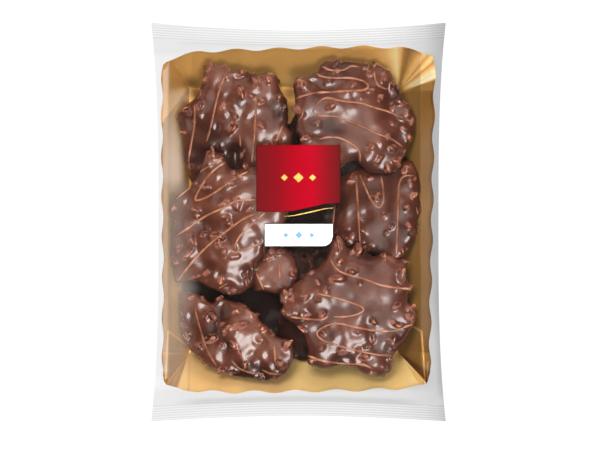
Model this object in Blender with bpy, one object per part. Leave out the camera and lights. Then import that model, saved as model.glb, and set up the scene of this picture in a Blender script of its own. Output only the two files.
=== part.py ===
"""A clear flow-wrapped pack of chocolate-coated gingerbread, lying on its back.

The closed pack is one solid with the outer shape of its film. The film is drawn tight over the
rim of a shallow tray and over the heaped gingerbread, and it ends in a flat crimped seal at
each end. Metres, +Z up; the origin is under the middle of the pack, on the surface it lies on.
"""

import bmesh
import bpy
import numpy as np

# The pack in plan: concave sides, and ends drawn in at the middle by the filling.
WIDTH_MIDDLE = 0.1678
WIDTH_ENDS = 0.1770
LENGTH_AT_CORNERS = 0.2394
TOP_END_BOW = 0.0050
BOTTOM_END_BOW = 0.0036
SIDE_CURVE = 3.0
END_CURVE = 1.7

# The crimped seals, and the height of the line where the upper and the lower film meet.
SEAL_BAND = 0.0088
SEAL_HEIGHT = 0.0125
SEAL_DROOP = 0.0025
SIDE_HEIGHT = 0.0145
EDGE_THICKNESS = 0.0008

# The tray under the film: its flat floor, and its rim with cut corners.
FLOOR_HALF_WIDTH = 0.063
FLOOR_HALF_LENGTH = 0.078
RIM_HALF_WIDTH = 0.081
RIM_HALF_LENGTH = 0.1025
RIM_HEIGHT = 0.0185
CORNER_CUT = 0.011

# The upper gingerbreads: x, y and z of the middle, radii along x and y, rise towards +x and +y.
GINGERBREADS = {
    "upper_left": (-0.039, 0.062, 0.0144, 0.036, 0.036, 4.1, 2.9),
    "upper_right": (0.032, 0.064, 0.0182, 0.039, 0.036, -6.5, -0.6),
    "middle_left": (-0.043, 0.001, 0.0196, 0.036, 0.043, 5.5, 6.0),
    "middle_right": (0.046, 0.003, 0.0098, 0.029, 0.034, 8.4, 0.1),
    "lower_left": (-0.039, -0.070, 0.0152, 0.035, 0.027, 8.0, -2.5),
    "lower_right": (0.031, -0.052, 0.0200, 0.039, 0.040, -3.4, 1.7),
}
GINGERBREAD_THICKNESS = 0.015
DOME_ROUNDNESS = 2.6
NUT_HEIGHT = 0.0022

# The net of the film, as cells from the middle outwards in each zone.
CELLS_TO_SIDE_RIM = 15
CELLS_TO_SIDE = 2
CELLS_TO_END_RIM = 19
CELLS_TO_SEAL = 3
CELLS_IN_SEAL = 1
SETTLING_STEPS = 1500

FILM_COLOUR = (0.86, 0.86, 0.86, 1.0)
FILM_ROUGHNESS = 0.15
SMOOTH_BELOW = np.radians(35)


def clear_scene():
    for leftover in list(bpy.data.objects):
        bpy.data.objects.remove(leftover, do_unlink=True)


def out_from_middle(line, zones):
    """The signed distance of a line of the net, for zones of (cells, width) from the middle out."""
    distance = 0.0
    inner_line = 0
    for cells, width in zones:
        distance = distance + np.clip((np.abs(line) - inner_line) / cells, 0, 1) * width
        inner_line += cells
    return np.sign(line) * distance


def plan_of(column, row):
    """x and y of the crossings of the net's columns and rows, which count from the middle."""
    side_zones = (CELLS_TO_SIDE_RIM, RIM_HALF_WIDTH), (CELLS_TO_SIDE, WIDTH_ENDS / 2 - RIM_HALF_WIDTH)
    u = out_from_middle(column, side_zones) / (WIDTH_ENDS / 2)
    bow = np.where(row > 0, TOP_END_BOW, BOTTOM_END_BOW) * (1 - np.abs(u) ** END_CURVE)
    seal_line = LENGTH_AT_CORNERS / 2 - bow - SEAL_BAND
    y = out_from_middle(
        row,
        (
            (CELLS_TO_END_RIM, RIM_HALF_LENGTH),
            (CELLS_TO_SEAL, seal_line - RIM_HALF_LENGTH),
            (CELLS_IN_SEAL, SEAL_BAND),
        ),
    )
    v = np.clip(np.abs(y) / (LENGTH_AT_CORNERS / 2), 0, 1)
    half_width = (WIDTH_MIDDLE + (WIDTH_ENDS - WIDTH_MIDDLE) * v**SIDE_CURVE) / 2
    x = out_from_middle(
        column, ((CELLS_TO_SIDE_RIM, RIM_HALF_WIDTH), (CELLS_TO_SIDE, half_width - RIM_HALF_WIDTH))
    )
    return x, y


def edge_line(x, y):
    """The height at which the upper and the lower film meet, all round and in the seals."""
    seal = SEAL_HEIGHT - SEAL_DROOP * (2 * x / WIDTH_ENDS) ** 2
    return SIDE_HEIGHT + (seal - SIDE_HEIGHT) * (np.abs(y) / np.abs(y).max(axis=0)) ** 2


def gingerbread_tops(x, y):
    """The height of the heaped gingerbread, and 0 where there is none."""
    tops = np.zeros_like(x)
    for middle_x, middle_y, middle_z, radius_x, radius_y, rise_x, rise_y in GINGERBREADS.values():
        dx = x - middle_x
        dy = y - middle_y
        reach = np.clip(np.hypot(dx / radius_x, dy / radius_y), 0, 1)
        dome = (1 - reach**DOME_ROUNDNESS) ** (1 / DOME_ROUNDNESS) * GINGERBREAD_THICKNESS / 2
        slope = np.tan(np.radians(rise_x)) * dx + np.tan(np.radians(rise_y)) * dy
        tops = np.maximum(tops, np.where(reach < 1, middle_z + slope + dome + NUT_HEIGHT, 0))
    return tops


def rim_tops(column, row, x, y):
    """The height of the tray's rim on the lines of the net that follow it, and 0 elsewhere."""
    on_side = (np.abs(column) == CELLS_TO_SIDE_RIM) & (np.abs(y) <= RIM_HALF_LENGTH - CORNER_CUT)
    on_end = (np.abs(row) == CELLS_TO_END_RIM) & (np.abs(x) <= RIM_HALF_WIDTH - CORNER_CUT)
    return np.where(on_side | on_end, RIM_HEIGHT, 0)


def draw_tight(height, x, y, held, stay_clear):
    """Settles a stretched film: each free point goes to the mean of its neighbours, weighed by
    their nearness, and stay_clear then lifts or lowers the film to clear what it covers."""
    across = 1 / np.diff(x, axis=1)
    along = 1 / np.diff(y, axis=0)
    total = np.zeros_like(height)
    total[:, 1:] += across
    total[:, :-1] += across
    total[1:] += along
    total[:-1] += along
    for _ in range(SETTLING_STEPS):
        pull = np.zeros_like(height)
        pull[:, 1:] += across * height[:, :-1]
        pull[:, :-1] += across * height[:, 1:]
        pull[1:] += along * height[:-1]
        pull[:-1] += along * height[1:]
        height = np.where(held, height, stay_clear(pull / total))
    return height


def film_heights(column, row, x, y):
    """The heights of the lower and of the upper film at the crossings of the net."""
    edge = edge_line(x, y)
    in_seal = np.abs(row) >= CELLS_TO_END_RIM + CELLS_TO_SEAL
    held = in_seal | (np.abs(column) == CELLS_TO_SIDE_RIM + CELLS_TO_SIDE)
    contents = np.maximum(gingerbread_tops(x, y), rim_tops(column, row, x, y))
    upper = draw_tight(
        edge + EDGE_THICKNESS / 2, x, y, held, lambda film: np.maximum(film, contents)
    )
    on_floor = (np.abs(x) <= FLOOR_HALF_WIDTH) & (np.abs(y) <= FLOOR_HALF_LENGTH)
    lower_start = np.where(on_floor, 0, edge - EDGE_THICKNESS / 2)
    lower = draw_tight(lower_start, x, y, held | on_floor, lambda film: np.maximum(film, 0))
    return lower, upper


def film_material():
    material = bpy.data.materials.new("clear_film")
    material.use_nodes = True
    principled = material.node_tree.nodes["Principled BSDF"]
    principled.inputs["Base Color"].default_value = FILM_COLOUR
    principled.inputs["Roughness"].default_value = FILM_ROUGHNESS
    principled.inputs["Metallic"].default_value = 0.0
    return material


def make_pack(collection):
    """A grid is doubled into a slab, whose two skins then take the shapes of the two films."""
    columns = CELLS_TO_SIDE_RIM + CELLS_TO_SIDE
    rows = CELLS_TO_END_RIM + CELLS_TO_SEAL + CELLS_IN_SEAL
    bpy.ops.mesh.primitive_grid_add(x_subdivisions=2 * columns, y_subdivisions=2 * rows, size=2)
    pack = bpy.context.object
    pack.name = "sealed_bag"
    pack.data.name = "sealed_bag"

    row_of, column_of = np.mgrid[-rows : rows + 1, -columns : columns + 1]
    x, y = plan_of(column_of, row_of)
    lower, upper = film_heights(column_of, row_of, x, y)

    slab = bmesh.new()
    slab.from_mesh(pack.data)
    doubled = bmesh.ops.extrude_face_region(slab, geom=slab.faces[:])
    upper_points = {part for part in doubled["geom"] if isinstance(part, bmesh.types.BMVert)}
    for point in slab.verts:
        at = round(point.co.y * rows) + rows, round(point.co.x * columns) + columns
        skin = upper if point in upper_points else lower
        point.co = x[at], y[at], skin[at]
    floor = [face for face in slab.faces if all(point.co.z == 0 for point in face.verts)]
    bmesh.ops.dissolve_faces(slab, faces=floor, use_verts=True)
    bmesh.ops.recalc_face_normals(slab, faces=slab.faces[:])
    slab.to_mesh(pack.data)
    slab.free()

    pack.data.shade_smooth()
    pack.data.set_sharp_from_angle(angle=SMOOTH_BELOW)
    pack.data.materials.append(film_material())
    for owner in list(pack.users_collection):
        owner.objects.unlink(pack)
    collection.objects.link(pack)


def main():
    clear_scene()
    collection = bpy.data.collections.new("gingerbread_pack")
    bpy.context.scene.collection.children.link(collection)
    make_pack(collection)


main()
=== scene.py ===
"""The looks of a clear film pack of chocolate-coated gingerbread that lies on its back.

Film is drawn over a gold card tray and a heap of nutty gingerbreads with a fine drizzle. Places
read off the photograph are given in its pixels, and at() turns them into metres.
"""

import bmesh
import bpy
import numpy as np
from mathutils import Matrix, Vector, noise
from mathutils.bvhtree import BVHTree


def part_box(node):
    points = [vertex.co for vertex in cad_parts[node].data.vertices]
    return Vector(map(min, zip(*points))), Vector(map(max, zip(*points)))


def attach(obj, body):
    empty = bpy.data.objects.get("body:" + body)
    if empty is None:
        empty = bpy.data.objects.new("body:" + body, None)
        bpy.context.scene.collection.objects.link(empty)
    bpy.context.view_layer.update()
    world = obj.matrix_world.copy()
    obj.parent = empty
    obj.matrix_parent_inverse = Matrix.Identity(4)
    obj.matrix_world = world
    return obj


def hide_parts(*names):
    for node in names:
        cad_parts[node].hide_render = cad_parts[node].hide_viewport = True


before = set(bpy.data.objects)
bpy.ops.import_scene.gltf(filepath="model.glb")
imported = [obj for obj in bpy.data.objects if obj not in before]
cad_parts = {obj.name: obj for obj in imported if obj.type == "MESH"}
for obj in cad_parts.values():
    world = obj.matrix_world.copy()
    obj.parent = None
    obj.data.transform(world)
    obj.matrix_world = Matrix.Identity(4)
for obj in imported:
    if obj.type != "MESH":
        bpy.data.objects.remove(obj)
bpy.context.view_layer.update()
LOW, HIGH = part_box("sealed_bag")
BODY = "root"

MM = 0.001

# The photograph's frame: the size of a pixel, and the pixel above the origin.
PIXEL = 0.6 * MM
MIDDLE_PX = 298.5, 222.0
FRAME_PX = 600, 450
CAMERA_DISTANCE = 1.8
SENSOR_WIDTH = 36.0

# The way to the light that gives the coats their glints, and how far off every light stands.
FRONT_LIGHT = 0.25, -0.4, 1.0
LIGHT_DISTANCE = 1.2

# The pack's outline, as in the frame's own source.
WIDTH_MIDDLE = 167.8 * MM
WIDTH_ENDS = HIGH.x - LOW.x
LENGTH_AT_CORNERS = HIGH.y - LOW.y
TOP_END_BOW = 5.0 * MM
BOTTOM_END_BOW = 3.6 * MM
SIDE_CURVE = 3.0
END_CURVE = 1.7
SEAL_BAND = 8.8 * MM
SEAL_HEIGHT = 12.5 * MM
SEAL_DROOP = 2.5 * MM
SIDE_HEIGHT = 14.5 * MM
EDGE_THICKNESS = 0.8 * MM
RIM_HALF_WIDTH = 81.0 * MM
RIM_HALF_LENGTH = 102.5 * MM
RIM_HEIGHT = 18.5 * MM
CORNER_CUT = 11.0 * MM

# The card tray: its floor's edges, and the height of its walls.
FLOOR_LEFT = -66.0 * MM
FLOOR_RIGHT = 60.0 * MM
FLOOR_BOTTOM = -79.0 * MM
FLOOR_TOP = 81.0 * MM
CARD = 0.5 * MM
CARD_BASE = 0.6 * MM
RIM_RISE = 16.9 * MM
REST_GAP = 0.4 * MM

# The net of the film.
SIDE_RIM_CELLS = 60
SIDE_CELLS = 8
END_RIM_CELLS = 76
SEAL_SLOPE_CELLS = 10
SEAL_CELLS = 42
RIB_PITCH = 1.45 * MM
RIB_HEIGHT = 0.16 * MM
SEAM_HALF_WIDTH = 6.0 * MM
SEAM_EDGE = 1.0 * MM
SEAM_RELIEF = 0.4 * MM
SHARP_RIB = np.radians(40)

# The film's gaps to the heap and to the tray's underside, and the floor that it lies flat on.
FILM_GAP = 0.5 * MM
UNDER_GAP = 0.2 * MM
NO_CEILING = 1.0
FLAT_HALF_WIDTH = 63 * MM
FLAT_HALF_LENGTH = 78 * MM

# How the film settles: each few lines first, and the rounds for them and then for all lines.
COARSE_STEP = 4
COARSE_ROUNDS = 900
FINE_ROUNDS = 260

# Where rays that come down on the pack start.
DROP_HEIGHT = 0.1
DOWN = 0, 0, -1

# How far apart in the noise the places of two seeds that follow each other are.
SEED_STEP = 3.7, 1.3, 7.1


def at(px, py):
    """The place in the pack that a pixel of the photograph shows, in metres."""
    return (px - MIDDLE_PX[0]) * PIXEL, (MIDDLE_PX[1] - py) * PIXEL


def path(*pixels):
    return np.array([at(px, py) for px, py in pixels])


def looked_up(place, table):
    """The value at each place, from a table of places and values with even runs between them."""
    return np.interp(place, *np.array(table).T)


# ---------------------------------------------------------------- meshes


def mesh_object(name, points, faces, smooth=True):
    mesh = bpy.data.meshes.new(name)
    mesh.from_pydata([tuple(p) for p in points], [], [tuple(f) for f in faces])
    mesh.update()
    thing = bpy.data.objects.new(name, mesh)
    bpy.context.scene.collection.objects.link(thing)
    if smooth:
        mesh.shade_smooth()
    return thing


def piece(thing, material):
    """Makes the thing part of the pack, with its finish. All of them stand for the pack's solid."""
    thing.data.materials.clear()
    thing.data.materials.append(material)
    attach(thing, BODY)
    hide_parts("sealed_bag")
    return thing


def grid_faces(rows, columns, first=0, flip=False, wrap=False):
    """The quads of a net of points that is stored row by row."""
    row, column = np.mgrid[0 : rows - 1, 0 : columns if wrap else columns - 1]
    right = (column + 1) % columns
    corners = [row * columns + column, row * columns + right]
    corners += [(row + 1) * columns + right, (row + 1) * columns + column]
    if flip:
        corners.reverse()
    return np.stack([c.ravel() for c in corners], axis=1) + first


def faced_out(thing):
    """Turns every face of the thing outwards."""
    work = bmesh.new()
    work.from_mesh(thing.data)
    bmesh.ops.recalc_face_normals(work, faces=work.faces[:])
    work.to_mesh(thing.data)
    work.free()
    return thing


def sheet(name, x, y, upper, lower):
    """A closed sheet over a net of places, between its upper and its lower heights."""
    points = np.concatenate([np.stack([x, y, skin], axis=2).reshape(-1, 3) for skin in (upper, lower)])
    rows, columns = x.shape
    faces = [*grid_faces(rows, columns), *grid_faces(rows, columns, first=x.size, flip=True)]
    index = np.arange(x.size).reshape(rows, columns)
    rim = np.concatenate([index[0], index[1:, -1], index[-1, -2::-1], index[-2:0:-1, 0]])
    after = np.roll(rim, -1)
    faces += [*np.stack([rim, rim + x.size, after + x.size, after], axis=1)]
    return faced_out(mesh_object(name, points, faces))


def coordinates(mesh):
    points = np.empty(len(mesh.vertices) * 3)
    mesh.vertices.foreach_get("co", points)
    return points.reshape(-1, 3)


def set_coordinates(mesh, points):
    mesh.vertices.foreach_set("co", np.asarray(points, np.float32).ravel())
    mesh.update()


def edge_ends(mesh):
    ends = np.empty(len(mesh.edges) * 2, np.int32)
    mesh.edges.foreach_get("vertices", ends)
    return ends.reshape(-1, 2)


def neighbour_mean(values, ends):
    """The mean of each vertex's neighbours, for values of any width."""
    total = np.zeros_like(values)
    count = np.zeros(len(values))
    for a, b in (ends.T, ends.T[::-1]):
        np.add.at(total, a, values[b])
        count += np.bincount(a, minlength=len(values))
    return total / count.reshape(-1, *[1] * (values.ndim - 1))


def store(mesh, name, values):
    attribute = mesh.attributes.new(name, "FLOAT", "POINT")
    attribute.data.foreach_set("value", np.asarray(values, np.float32))


def smoothstep(value, low, high):
    share = np.clip((value - low) / (high - low), 0, 1)
    return share * share * (3 - 2 * share)


def tree_of(thing):
    return BVHTree.FromObject(thing, bpy.context.evaluated_depsgraph_get())


def dropped(tree, x, y):
    """Where a ray that comes down at a place meets the surface, or None."""
    return tree.ray_cast(Vector((x, y, DROP_HEIGHT)), Vector(DOWN))[0]


def bumpy(points, scale, seed, octaves=3):
    """Smooth noise from about -1 to 1 at each point, with features of about the given size."""
    offset = Vector([seed * step for step in SEED_STEP])
    return np.array([noise.fractal(Vector(p) / scale + offset, 1.0, 2.0, octaves) for p in points])


# ---------------------------------------------------------------- gingerbread

# What a gingerbread has where its own entry says nothing else: its thickness in mm and its rise in
# degrees towards +x and towards +y; its lumps (px, py, radius in px, height in mm); where its waves
# are calm (px, py, radius in px, share); its nuts (px, py, half length in px); its facets (px, py,
# size in px, lean), where 1 leans as a glint of the front light asks and 0 lies level; its spots of
# painted shade and painted light (px, py, radius in px, change), which darken or lighten its coat;
# how light its coat is, where below 1 it is a darker copy that paints shade on a hidden gingerbread;
# and its share of the seeded nuts.
PLAIN = {
    "thickness": 15.0, "rise": (0.0, 0.0), "lumps": (), "calm": (), "nuts": (), "facets": (), "painted_tones": (),
    "light": 1.0, "scattered": 1.0,
}

# Each gingerbread's middle in px and its height in mm, its outline in the photo, and the rest.
GINGERBREADS = {
    "gingerbread_upper_left": {
        "middle": (235, 126), "z": 14.4, "rise": (4.1, 2.9),
        "outline": (
            (177, 113), (186, 104), (193, 99), (198, 91), (203, 80), (202, 73), (205, 66), (212, 63.5),
            (226, 65), (233, 69), (248, 70), (257, 76), (266, 72), (272, 71), (277, 75), (280, 88),
            (288, 101), (288, 126), (294, 134), (291, 160), (281, 176), (258, 186), (232, 190), (208, 189),
            (193, 184), (186, 170), (182, 155), (183, 144), (179, 127),
        ),
        "lumps": (
            (235, 104, 13, 1.2), (253, 92, 10, 1), (270, 86, 10, 1.6), (216, 74, 10, 1.6),
            (219, 151, 8, -3), (236, 152, 7, -6), (236, 163, 7, -6), (250, 118, 8, 1), (213, 108, 8, -1.2),
            (252, 78, 5, -2.2), (259, 131, 10, 1.2), (281, 112, 8, -1.6), (198, 160, 10, -1),
            (190, 118, 11, -0.8), (258, 158, 9, 1),
        ),
        "nuts": (
            (211, 67, 4.5), (257, 81, 5), (222, 87, 4), (243, 92, 4), (201, 105, 5), (187, 109, 3.5),
            (178, 119, 3), (263, 101, 4), (237, 116, 3.5), (234, 128, 6.5), (262, 126, 3.5), (243, 154, 4),
            (246, 167, 4), (269, 144, 4), (239, 76, 3), (270, 78, 5), (228, 77, 3), (206, 80, 3.5),
            (183, 132, 3), (224, 106, 3.5), (253, 97, 3), (280, 97, 3), (284, 108, 3),
        ),
        "facets": (
            (237, 106, 3, 1), (229, 113, 2.5, 1), (242, 112, 3.5, 1), (256, 92, 2.5, 1), (257, 112, 3, 1),
            (250, 117, 2.5, 1), (227, 95, 3, 0.7), (262, 138, 3, 0.8), (216, 127, 2, 1), (203, 116, 2, 0.9),
            (198, 138, 7, -0.7), (212, 140, 5, -0.8), (196, 158, 6, -0.8), (188, 122, 5, -0.2),
            (273, 99, 5, 0.1), (222, 75, 5, 0.1), (285, 137, 4, 0.7), (244, 103, 2.5, 0.9),
            (226, 124, 4, -0.6), (213, 96, 5, 0.2), (252, 144, 5, 0.1), (268, 118, 5, -0.2),
            (281, 112, 4, -0.6), (268, 90, 4, 0.1), (238, 74, 4, 0), (275, 106, 4, 0.1),
        ),
        "painted_tones": (
            (200, 125, 14, -1.5), (195, 155, 14, -2.0), (216, 138, 12, -2.4), (236, 158, 10, -2),
            (228, 122, 7, -1.4), (252, 150, 8, -0.8), (240, 102, 7, -1.6), (276, 106, 9, -1.4),
            (204, 86, 8, -1.2), (270, 88, 9, 0.6), (222, 82, 11, 1.2), (285, 138, 8, 0.8),
        ),
    },
    "gingerbread_upper_right": {
        "middle": (352, 117), "z": 18.2, "rise": (-6.5, -0.6),
        "outline": (
            (292, 84), (295, 78), (301, 76), (310, 75), (318, 71), (319, 64), (326, 60), (341, 61),
            (361, 62), (380, 65), (390, 70), (395, 81), (402, 95), (408, 105), (416, 116), (416, 132),
            (410, 147), (404, 158), (401, 169), (392, 174.5), (378, 174), (369, 174), (362, 167),
            (355, 161), (346, 165), (330, 176), (310, 176), (302, 160), (298, 140), (296, 120), (294, 100),
        ),
        "lumps": (
            (341, 90, 10, 1.2), (335, 108, 12, 1.4), (364, 120, 16, 0.6), (375, 140, 9, 1.5),
            (373, 153, 9, 1.3), (400, 96, 10, -1.6), (318, 90, 7, -1.6), (322, 131, 11, -2.2),
            (308, 118, 7, -1.6), (352, 159, 8, -1.2), (396, 140, 10, -1.2), (340, 71, 9, -1.2),
            (340, 130, 8, -1.0), (302, 86, 7, 1.6),
        ),
        "calm": ((326, 114, 9, 1), (368, 122, 14, 1), (345, 140, 10, 1)),
        "nuts": (
            (299, 84, 6), (296, 111, 6), (305, 139, 5), (334, 61, 3.5), (348, 60, 3.5), (364, 66, 4),
            (379, 99, 4), (387, 138, 4), (390, 148, 4), (403, 153, 3.5), (396, 163, 4), (403, 130, 4),
            (406, 113, 4), (370, 74, 4), (383, 78, 4), (391, 89, 4), (377, 66, 3.5), (398, 104, 3.5),
            (369, 92, 3.5), (336, 72, 3.5), (352, 86, 3), (329, 108, 3.5), (377, 160, 4), (368, 148, 3.5),
            (411, 122, 3.5), (409, 139, 3.5), (316, 124, 3.5), (387, 170, 4),
        ),
        "facets": (
            (345, 97, 3.5, 1), (354, 95, 3, 0.8), (340, 112, 3, 0.6), (348, 110, 3, 0.5),
            (378, 146, 2.5, 1), (374, 159, 3.5, 1), (366, 160, 3, 0.9), (304, 90, 2.5, 0.9),
            (316, 133, 2.5, 0.9), (310, 80, 3, 0.6), (330, 124, 7, -0.1), (365, 118, 8, 0.3),
            (352, 148, 6, 0.45), (390, 125, 6, 0.3), (395, 96, 6, -0.5), (338, 72, 4, 0.3),
            (335, 84, 4, 0.4), (372, 132, 5, 0.3), (360, 111, 4, 0),
        ),
        "painted_tones": (
            (308, 103, 12, -1.4), (328, 122, 12, -1.4), (395, 95, 13, -1.6), (338, 62, 8, -0.6),
            (408, 130, 9, -1.2), (360, 120, 16, 0.6), (345, 143, 10, 0.6), (300, 82, 8, 0.8),
            (387, 126, 9, 1.2), (370, 68, 7, 0.8),
        ),
    },
    "gingerbread_middle_left": {
        "middle": (227, 223), "z": 19.6, "rise": (5.5, 6.0),
        "outline": (
            (169, 205), (174, 196), (183, 191), (191, 186), (200, 171), (205, 160), (207, 153), (217, 151),
            (225, 153), (231, 167), (240, 170), (256, 167), (276, 172), (290, 190), (292, 208), (287, 222),
            (276, 238), (264, 247), (263, 258), (255, 264), (255, 278), (252, 288), (241, 296), (228, 296),
            (216, 292), (201, 285), (191, 281), (175, 284), (171, 270), (171, 242), (172, 222),
        ),
        "lumps": (
            (231, 256, 15, 2), (242, 243, 9, 1), (243, 228, 9, 1.2), (210, 161, 10, 1.6),
            (222, 180, 10, 1.2), (245, 188, 11, 1.2), (228, 238, 7, -1.2), (206, 222, 10, -1.8),
            (257, 212, 9, 1), (222, 283, 8, 1.2), (186, 214, 8, -1.2), (211, 264, 8, -1.6),
            (188, 256, 9, 1), (229, 206, 8, 1.2), (207, 196, 8, -1.2),
        ),
        "nuts": (
            (175, 208, 4), (198, 216, 3.5), (193, 240, 5), (187, 255, 3.5), (193, 251, 3.5),
            (219, 236, 6.5), (240, 201, 6), (226, 202, 4), (231, 222, 4), (237, 247, 4), (207, 272, 4),
            (194, 277, 4), (222, 279, 4), (174, 281, 3.5), (226, 253, 3), (214, 153, 5), (205, 233, 3.5),
            (220, 243, 4), (247, 281, 3), (234, 291, 3.5), (251, 208, 3.5), (207, 186, 3.5), (242, 176, 4),
            (178, 222, 3), (180, 246, 3.5), (176, 262, 3), (236, 172, 3), (228, 216, 4),
        ),
        "facets": (
            (236, 267, 6, 1), (232, 278, 5, 1), (243, 257, 6, 1), (252, 250, 5, 1), (260, 246, 4, 1),
            (246, 237, 4, 0.9), (252, 231, 3, 0.7), (213, 165, 4, 1), (221, 160, 3, 0.9),
            (221, 176, 3, 0.9), (232, 182, 3.5, 0.9), (247, 177, 3.5, 0.9), (187, 200, 2.5, 0.8),
            (262, 220, 4, 0.5), (217, 274, 3, 0.8), (207, 237, 5, -0.6), (252, 274, 4, -0.7),
            (226, 215, 4, 0.6), (216, 195, 5, -0.4), (200, 256, 5, 0.3), (188, 226, 5, 0),
            (228, 290, 4, -0.4), (215, 256, 4, -0.3),
        ),
        "painted_tones": (
            (207, 235, 12, -1.2), (217, 195, 9, -1.4), (190, 225, 12, -0.4), (228, 292, 9, -1),
            (194, 274, 11, 1.0), (262, 252, 8, 1.0), (226, 222, 50, 0.6), (252, 275, 8, -1.2),
            (200, 258, 9, 0.6), (236, 178, 12, 1.2), (260, 225, 9, 0.8),
        ),
    },
    "gingerbread_lower_left": {
        "middle": (235, 339), "z": 15.2, "rise": (8.0, -2.5),
        "outline": (
            (176, 293), (183, 291), (193, 291), (201, 295), (211, 302), (219, 297), (234, 300), (243, 302),
            (252, 309), (262, 320), (271, 328), (275, 335), (282, 337.5), (289, 338), (294, 343),
            (297, 358), (292, 367), (286, 376), (272, 381), (252, 380), (238, 378), (225, 373), (212, 369),
            (203, 363), (199, 357), (190, 352), (184, 343), (180, 331), (180, 319), (178, 303),
        ),
        "lumps": (
            (242, 330, 13, 1.8), (256, 331, 9, 1.2), (247, 347, 10, 1), (214, 336, 10, -2.2),
            (222, 316, 8, -2), (199, 301, 9, 1.4), (262, 353, 10, 1.2), (217, 350, 9, 1.4),
            (230, 346, 6, -1.4), (240, 371, 8, -2.6), (262, 376, 8, -2.4), (190, 330, 8, 0.8),
            (281, 358, 8, 1.2),
        ),
        "nuts": (
            (219, 299, 4), (208, 318, 4), (214, 317, 5), (223, 324, 4), (227, 331, 3.5), (236, 345, 4),
            (242, 303, 4), (237, 312, 3.5), (242, 326, 4.5), (253, 314, 4), (212, 339, 5), (189, 336, 4),
            (182, 325, 3), (242, 353, 3), (223, 370, 3.5), (288, 344, 6), (247, 364, 3), (283, 363, 4),
            (263, 377, 3.5), (201, 345, 3), (205, 362, 3), (264, 329, 3.5), (192, 298, 3), (233, 373, 3),
            (225, 345, 3), (270, 327, 3),
        ),
        "facets": (
            (233, 329, 3, 1), (239, 334, 4, 1), (246, 340, 5, 1), (251, 347, 5, 1), (254, 354, 4, 1),
            (247, 358, 3.5, 1), (258, 362, 3, 1), (259, 343, 4, 0.7), (220, 358, 3.5, 1),
            (203, 305, 3.5, 1), (189, 316, 3, 0.9), (266, 356, 3.5, 1), (260, 361, 3, 0.9),
            (274, 366, 2.5, 0.9), (290, 352, 2.5, 0.9), (186, 337, 2.5, 0.9), (215, 331, 5, -1),
            (252, 318, 5, 0.4), (264, 338, 4, 0.3), (222, 313, 4, -1), (229, 349, 4, -0.9),
            (205, 350, 5, -0.4), (222, 303, 2.5, 0.7),
        ),
        "painted_tones": (
            (215, 331, 10, -2.8), (222, 314, 8, -2.2), (227, 348, 8, -2.0), (250, 374, 14, -2.2),
            (275, 374, 9, -1.4), (205, 355, 8, -1.4), (252, 322, 10, 0.8), (268, 354, 10, 1.2),
            (254, 334, 19, 1.6), (236, 338, 45, 0.6), (192, 330, 9, -0.4),
        ),
    },
    "gingerbread_lower_right": {
        "middle": (349, 311), "z": 19.6, "rise": (-3.4, -1.5),
        "outline": (
            (331, 241), (336, 236), (343, 238), (346, 246), (352, 248), (358, 244), (365, 247), (360, 255),
            (374, 256), (385, 252), (398, 258), (410, 260), (405, 268), (406, 276), (414, 285), (408, 292),
            (408, 302), (416, 310), (415, 323), (409, 334), (401, 346), (393, 356), (391, 370), (381, 377),
            (366, 375), (352, 367), (338, 366), (321, 370), (306, 364), (307, 350), (302, 334), (292, 324),
            (280, 315), (282, 304), (277, 294), (290, 288), (297, 281), (311, 269), (324, 260), (329, 248),
        ),
        "lumps": (
            (384, 300, 24, 0.8), (337, 244, 7, 2.6), (302, 290, 10, 1.2), (351, 328, 13, 1.2),
            (334, 278, 8, 1), (316, 346, 8, 1), (385, 262, 11, 1.2), (351, 349, 9, 1), (330, 309, 9, -1.2),
            (349, 252, 4, -1), (367, 254, 5, -3), (350, 300, 9, -0.6), (336, 360, 6, -1.2),
            (320, 296, 8, 0.8), (397, 335, 9, -1.2), (374, 364, 8, 1), (316, 331, 7, -1.2),
        ),
        "calm": ((382, 298, 18, 1), (376, 322, 10, 1), (318, 344, 8, 1)),
        "nuts": (
            (338, 244, 6.5), (358, 249, 5.5), (383, 255, 4), (405, 261, 4.5), (339, 261, 4.5),
            (351, 271, 5), (335, 279, 5.5), (317, 282, 3.5), (325, 290, 4), (401, 275, 5.5), (395, 306, 4),
            (372, 321, 4), (409, 318, 4.5), (395, 324, 4), (372, 338, 4), (390, 343, 4), (406, 339, 4),
            (321, 315, 4.5), (304, 316, 4.5), (301, 329, 4), (322, 332, 3.5), (341, 351, 4.5),
            (362, 357, 4), (372, 373, 4), (389, 372, 4), (288, 295, 5), (283, 311, 4), (280, 290, 4.5),
            (282, 300, 4), (292, 288, 4), (410, 288, 3.5), (412, 300, 3.5), (410, 307, 4), (310, 273, 3.5),
            (352, 253, 3), (366, 346, 3.5), (397, 289, 3), (306, 298, 3), (311, 360, 3.5),
        ),
        "facets": (
            (304, 296, 2.5, 1), (311, 296, 2.5, 1), (323, 304, 3, 0.8), (337, 284, 3.5, 1),
            (345, 334, 4, 0.5), (359, 335, 4, 0.55), (335, 345, 3, 0.9), (352, 351, 3.5, 1),
            (346, 360, 3, 1), (357, 362, 2.5, 0.9), (391, 343, 2.5, 1), (371, 327, 5, 0),
            (371, 357, 3, 0.6), (391, 313, 8, -0.15), (381, 338, 6, -0.2), (286, 297, 2.5, 0.9),
            (344, 307, 4, 0.3), (338, 245, 3, 0.8), (398, 330, 5, -0.2), (333, 326, 4, 0.3),
            (356, 318, 5, 0.1), (330, 312, 4, -0.4), (310, 335, 5, -0.5), (290, 314, 2.5, 0.9),
            (303, 315, 2.5, 0.9), (337, 336, 3, 0.6), (328, 351, 2.5, 0.6), (286, 293, 2.5, 0.9),
            (296, 313, 2.5, 0.9),
        ),
        "painted_tones": (
            (292, 330, 9, -1), (310, 347, 11, -1.8), (372, 262, 9, -0.8), (398, 330, 9, -0.8),
            (378, 314, 16, -1.2), (292, 313, 8, 1.2), (345, 310, 50, -0.3), (346, 255, 7, 1),
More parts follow.
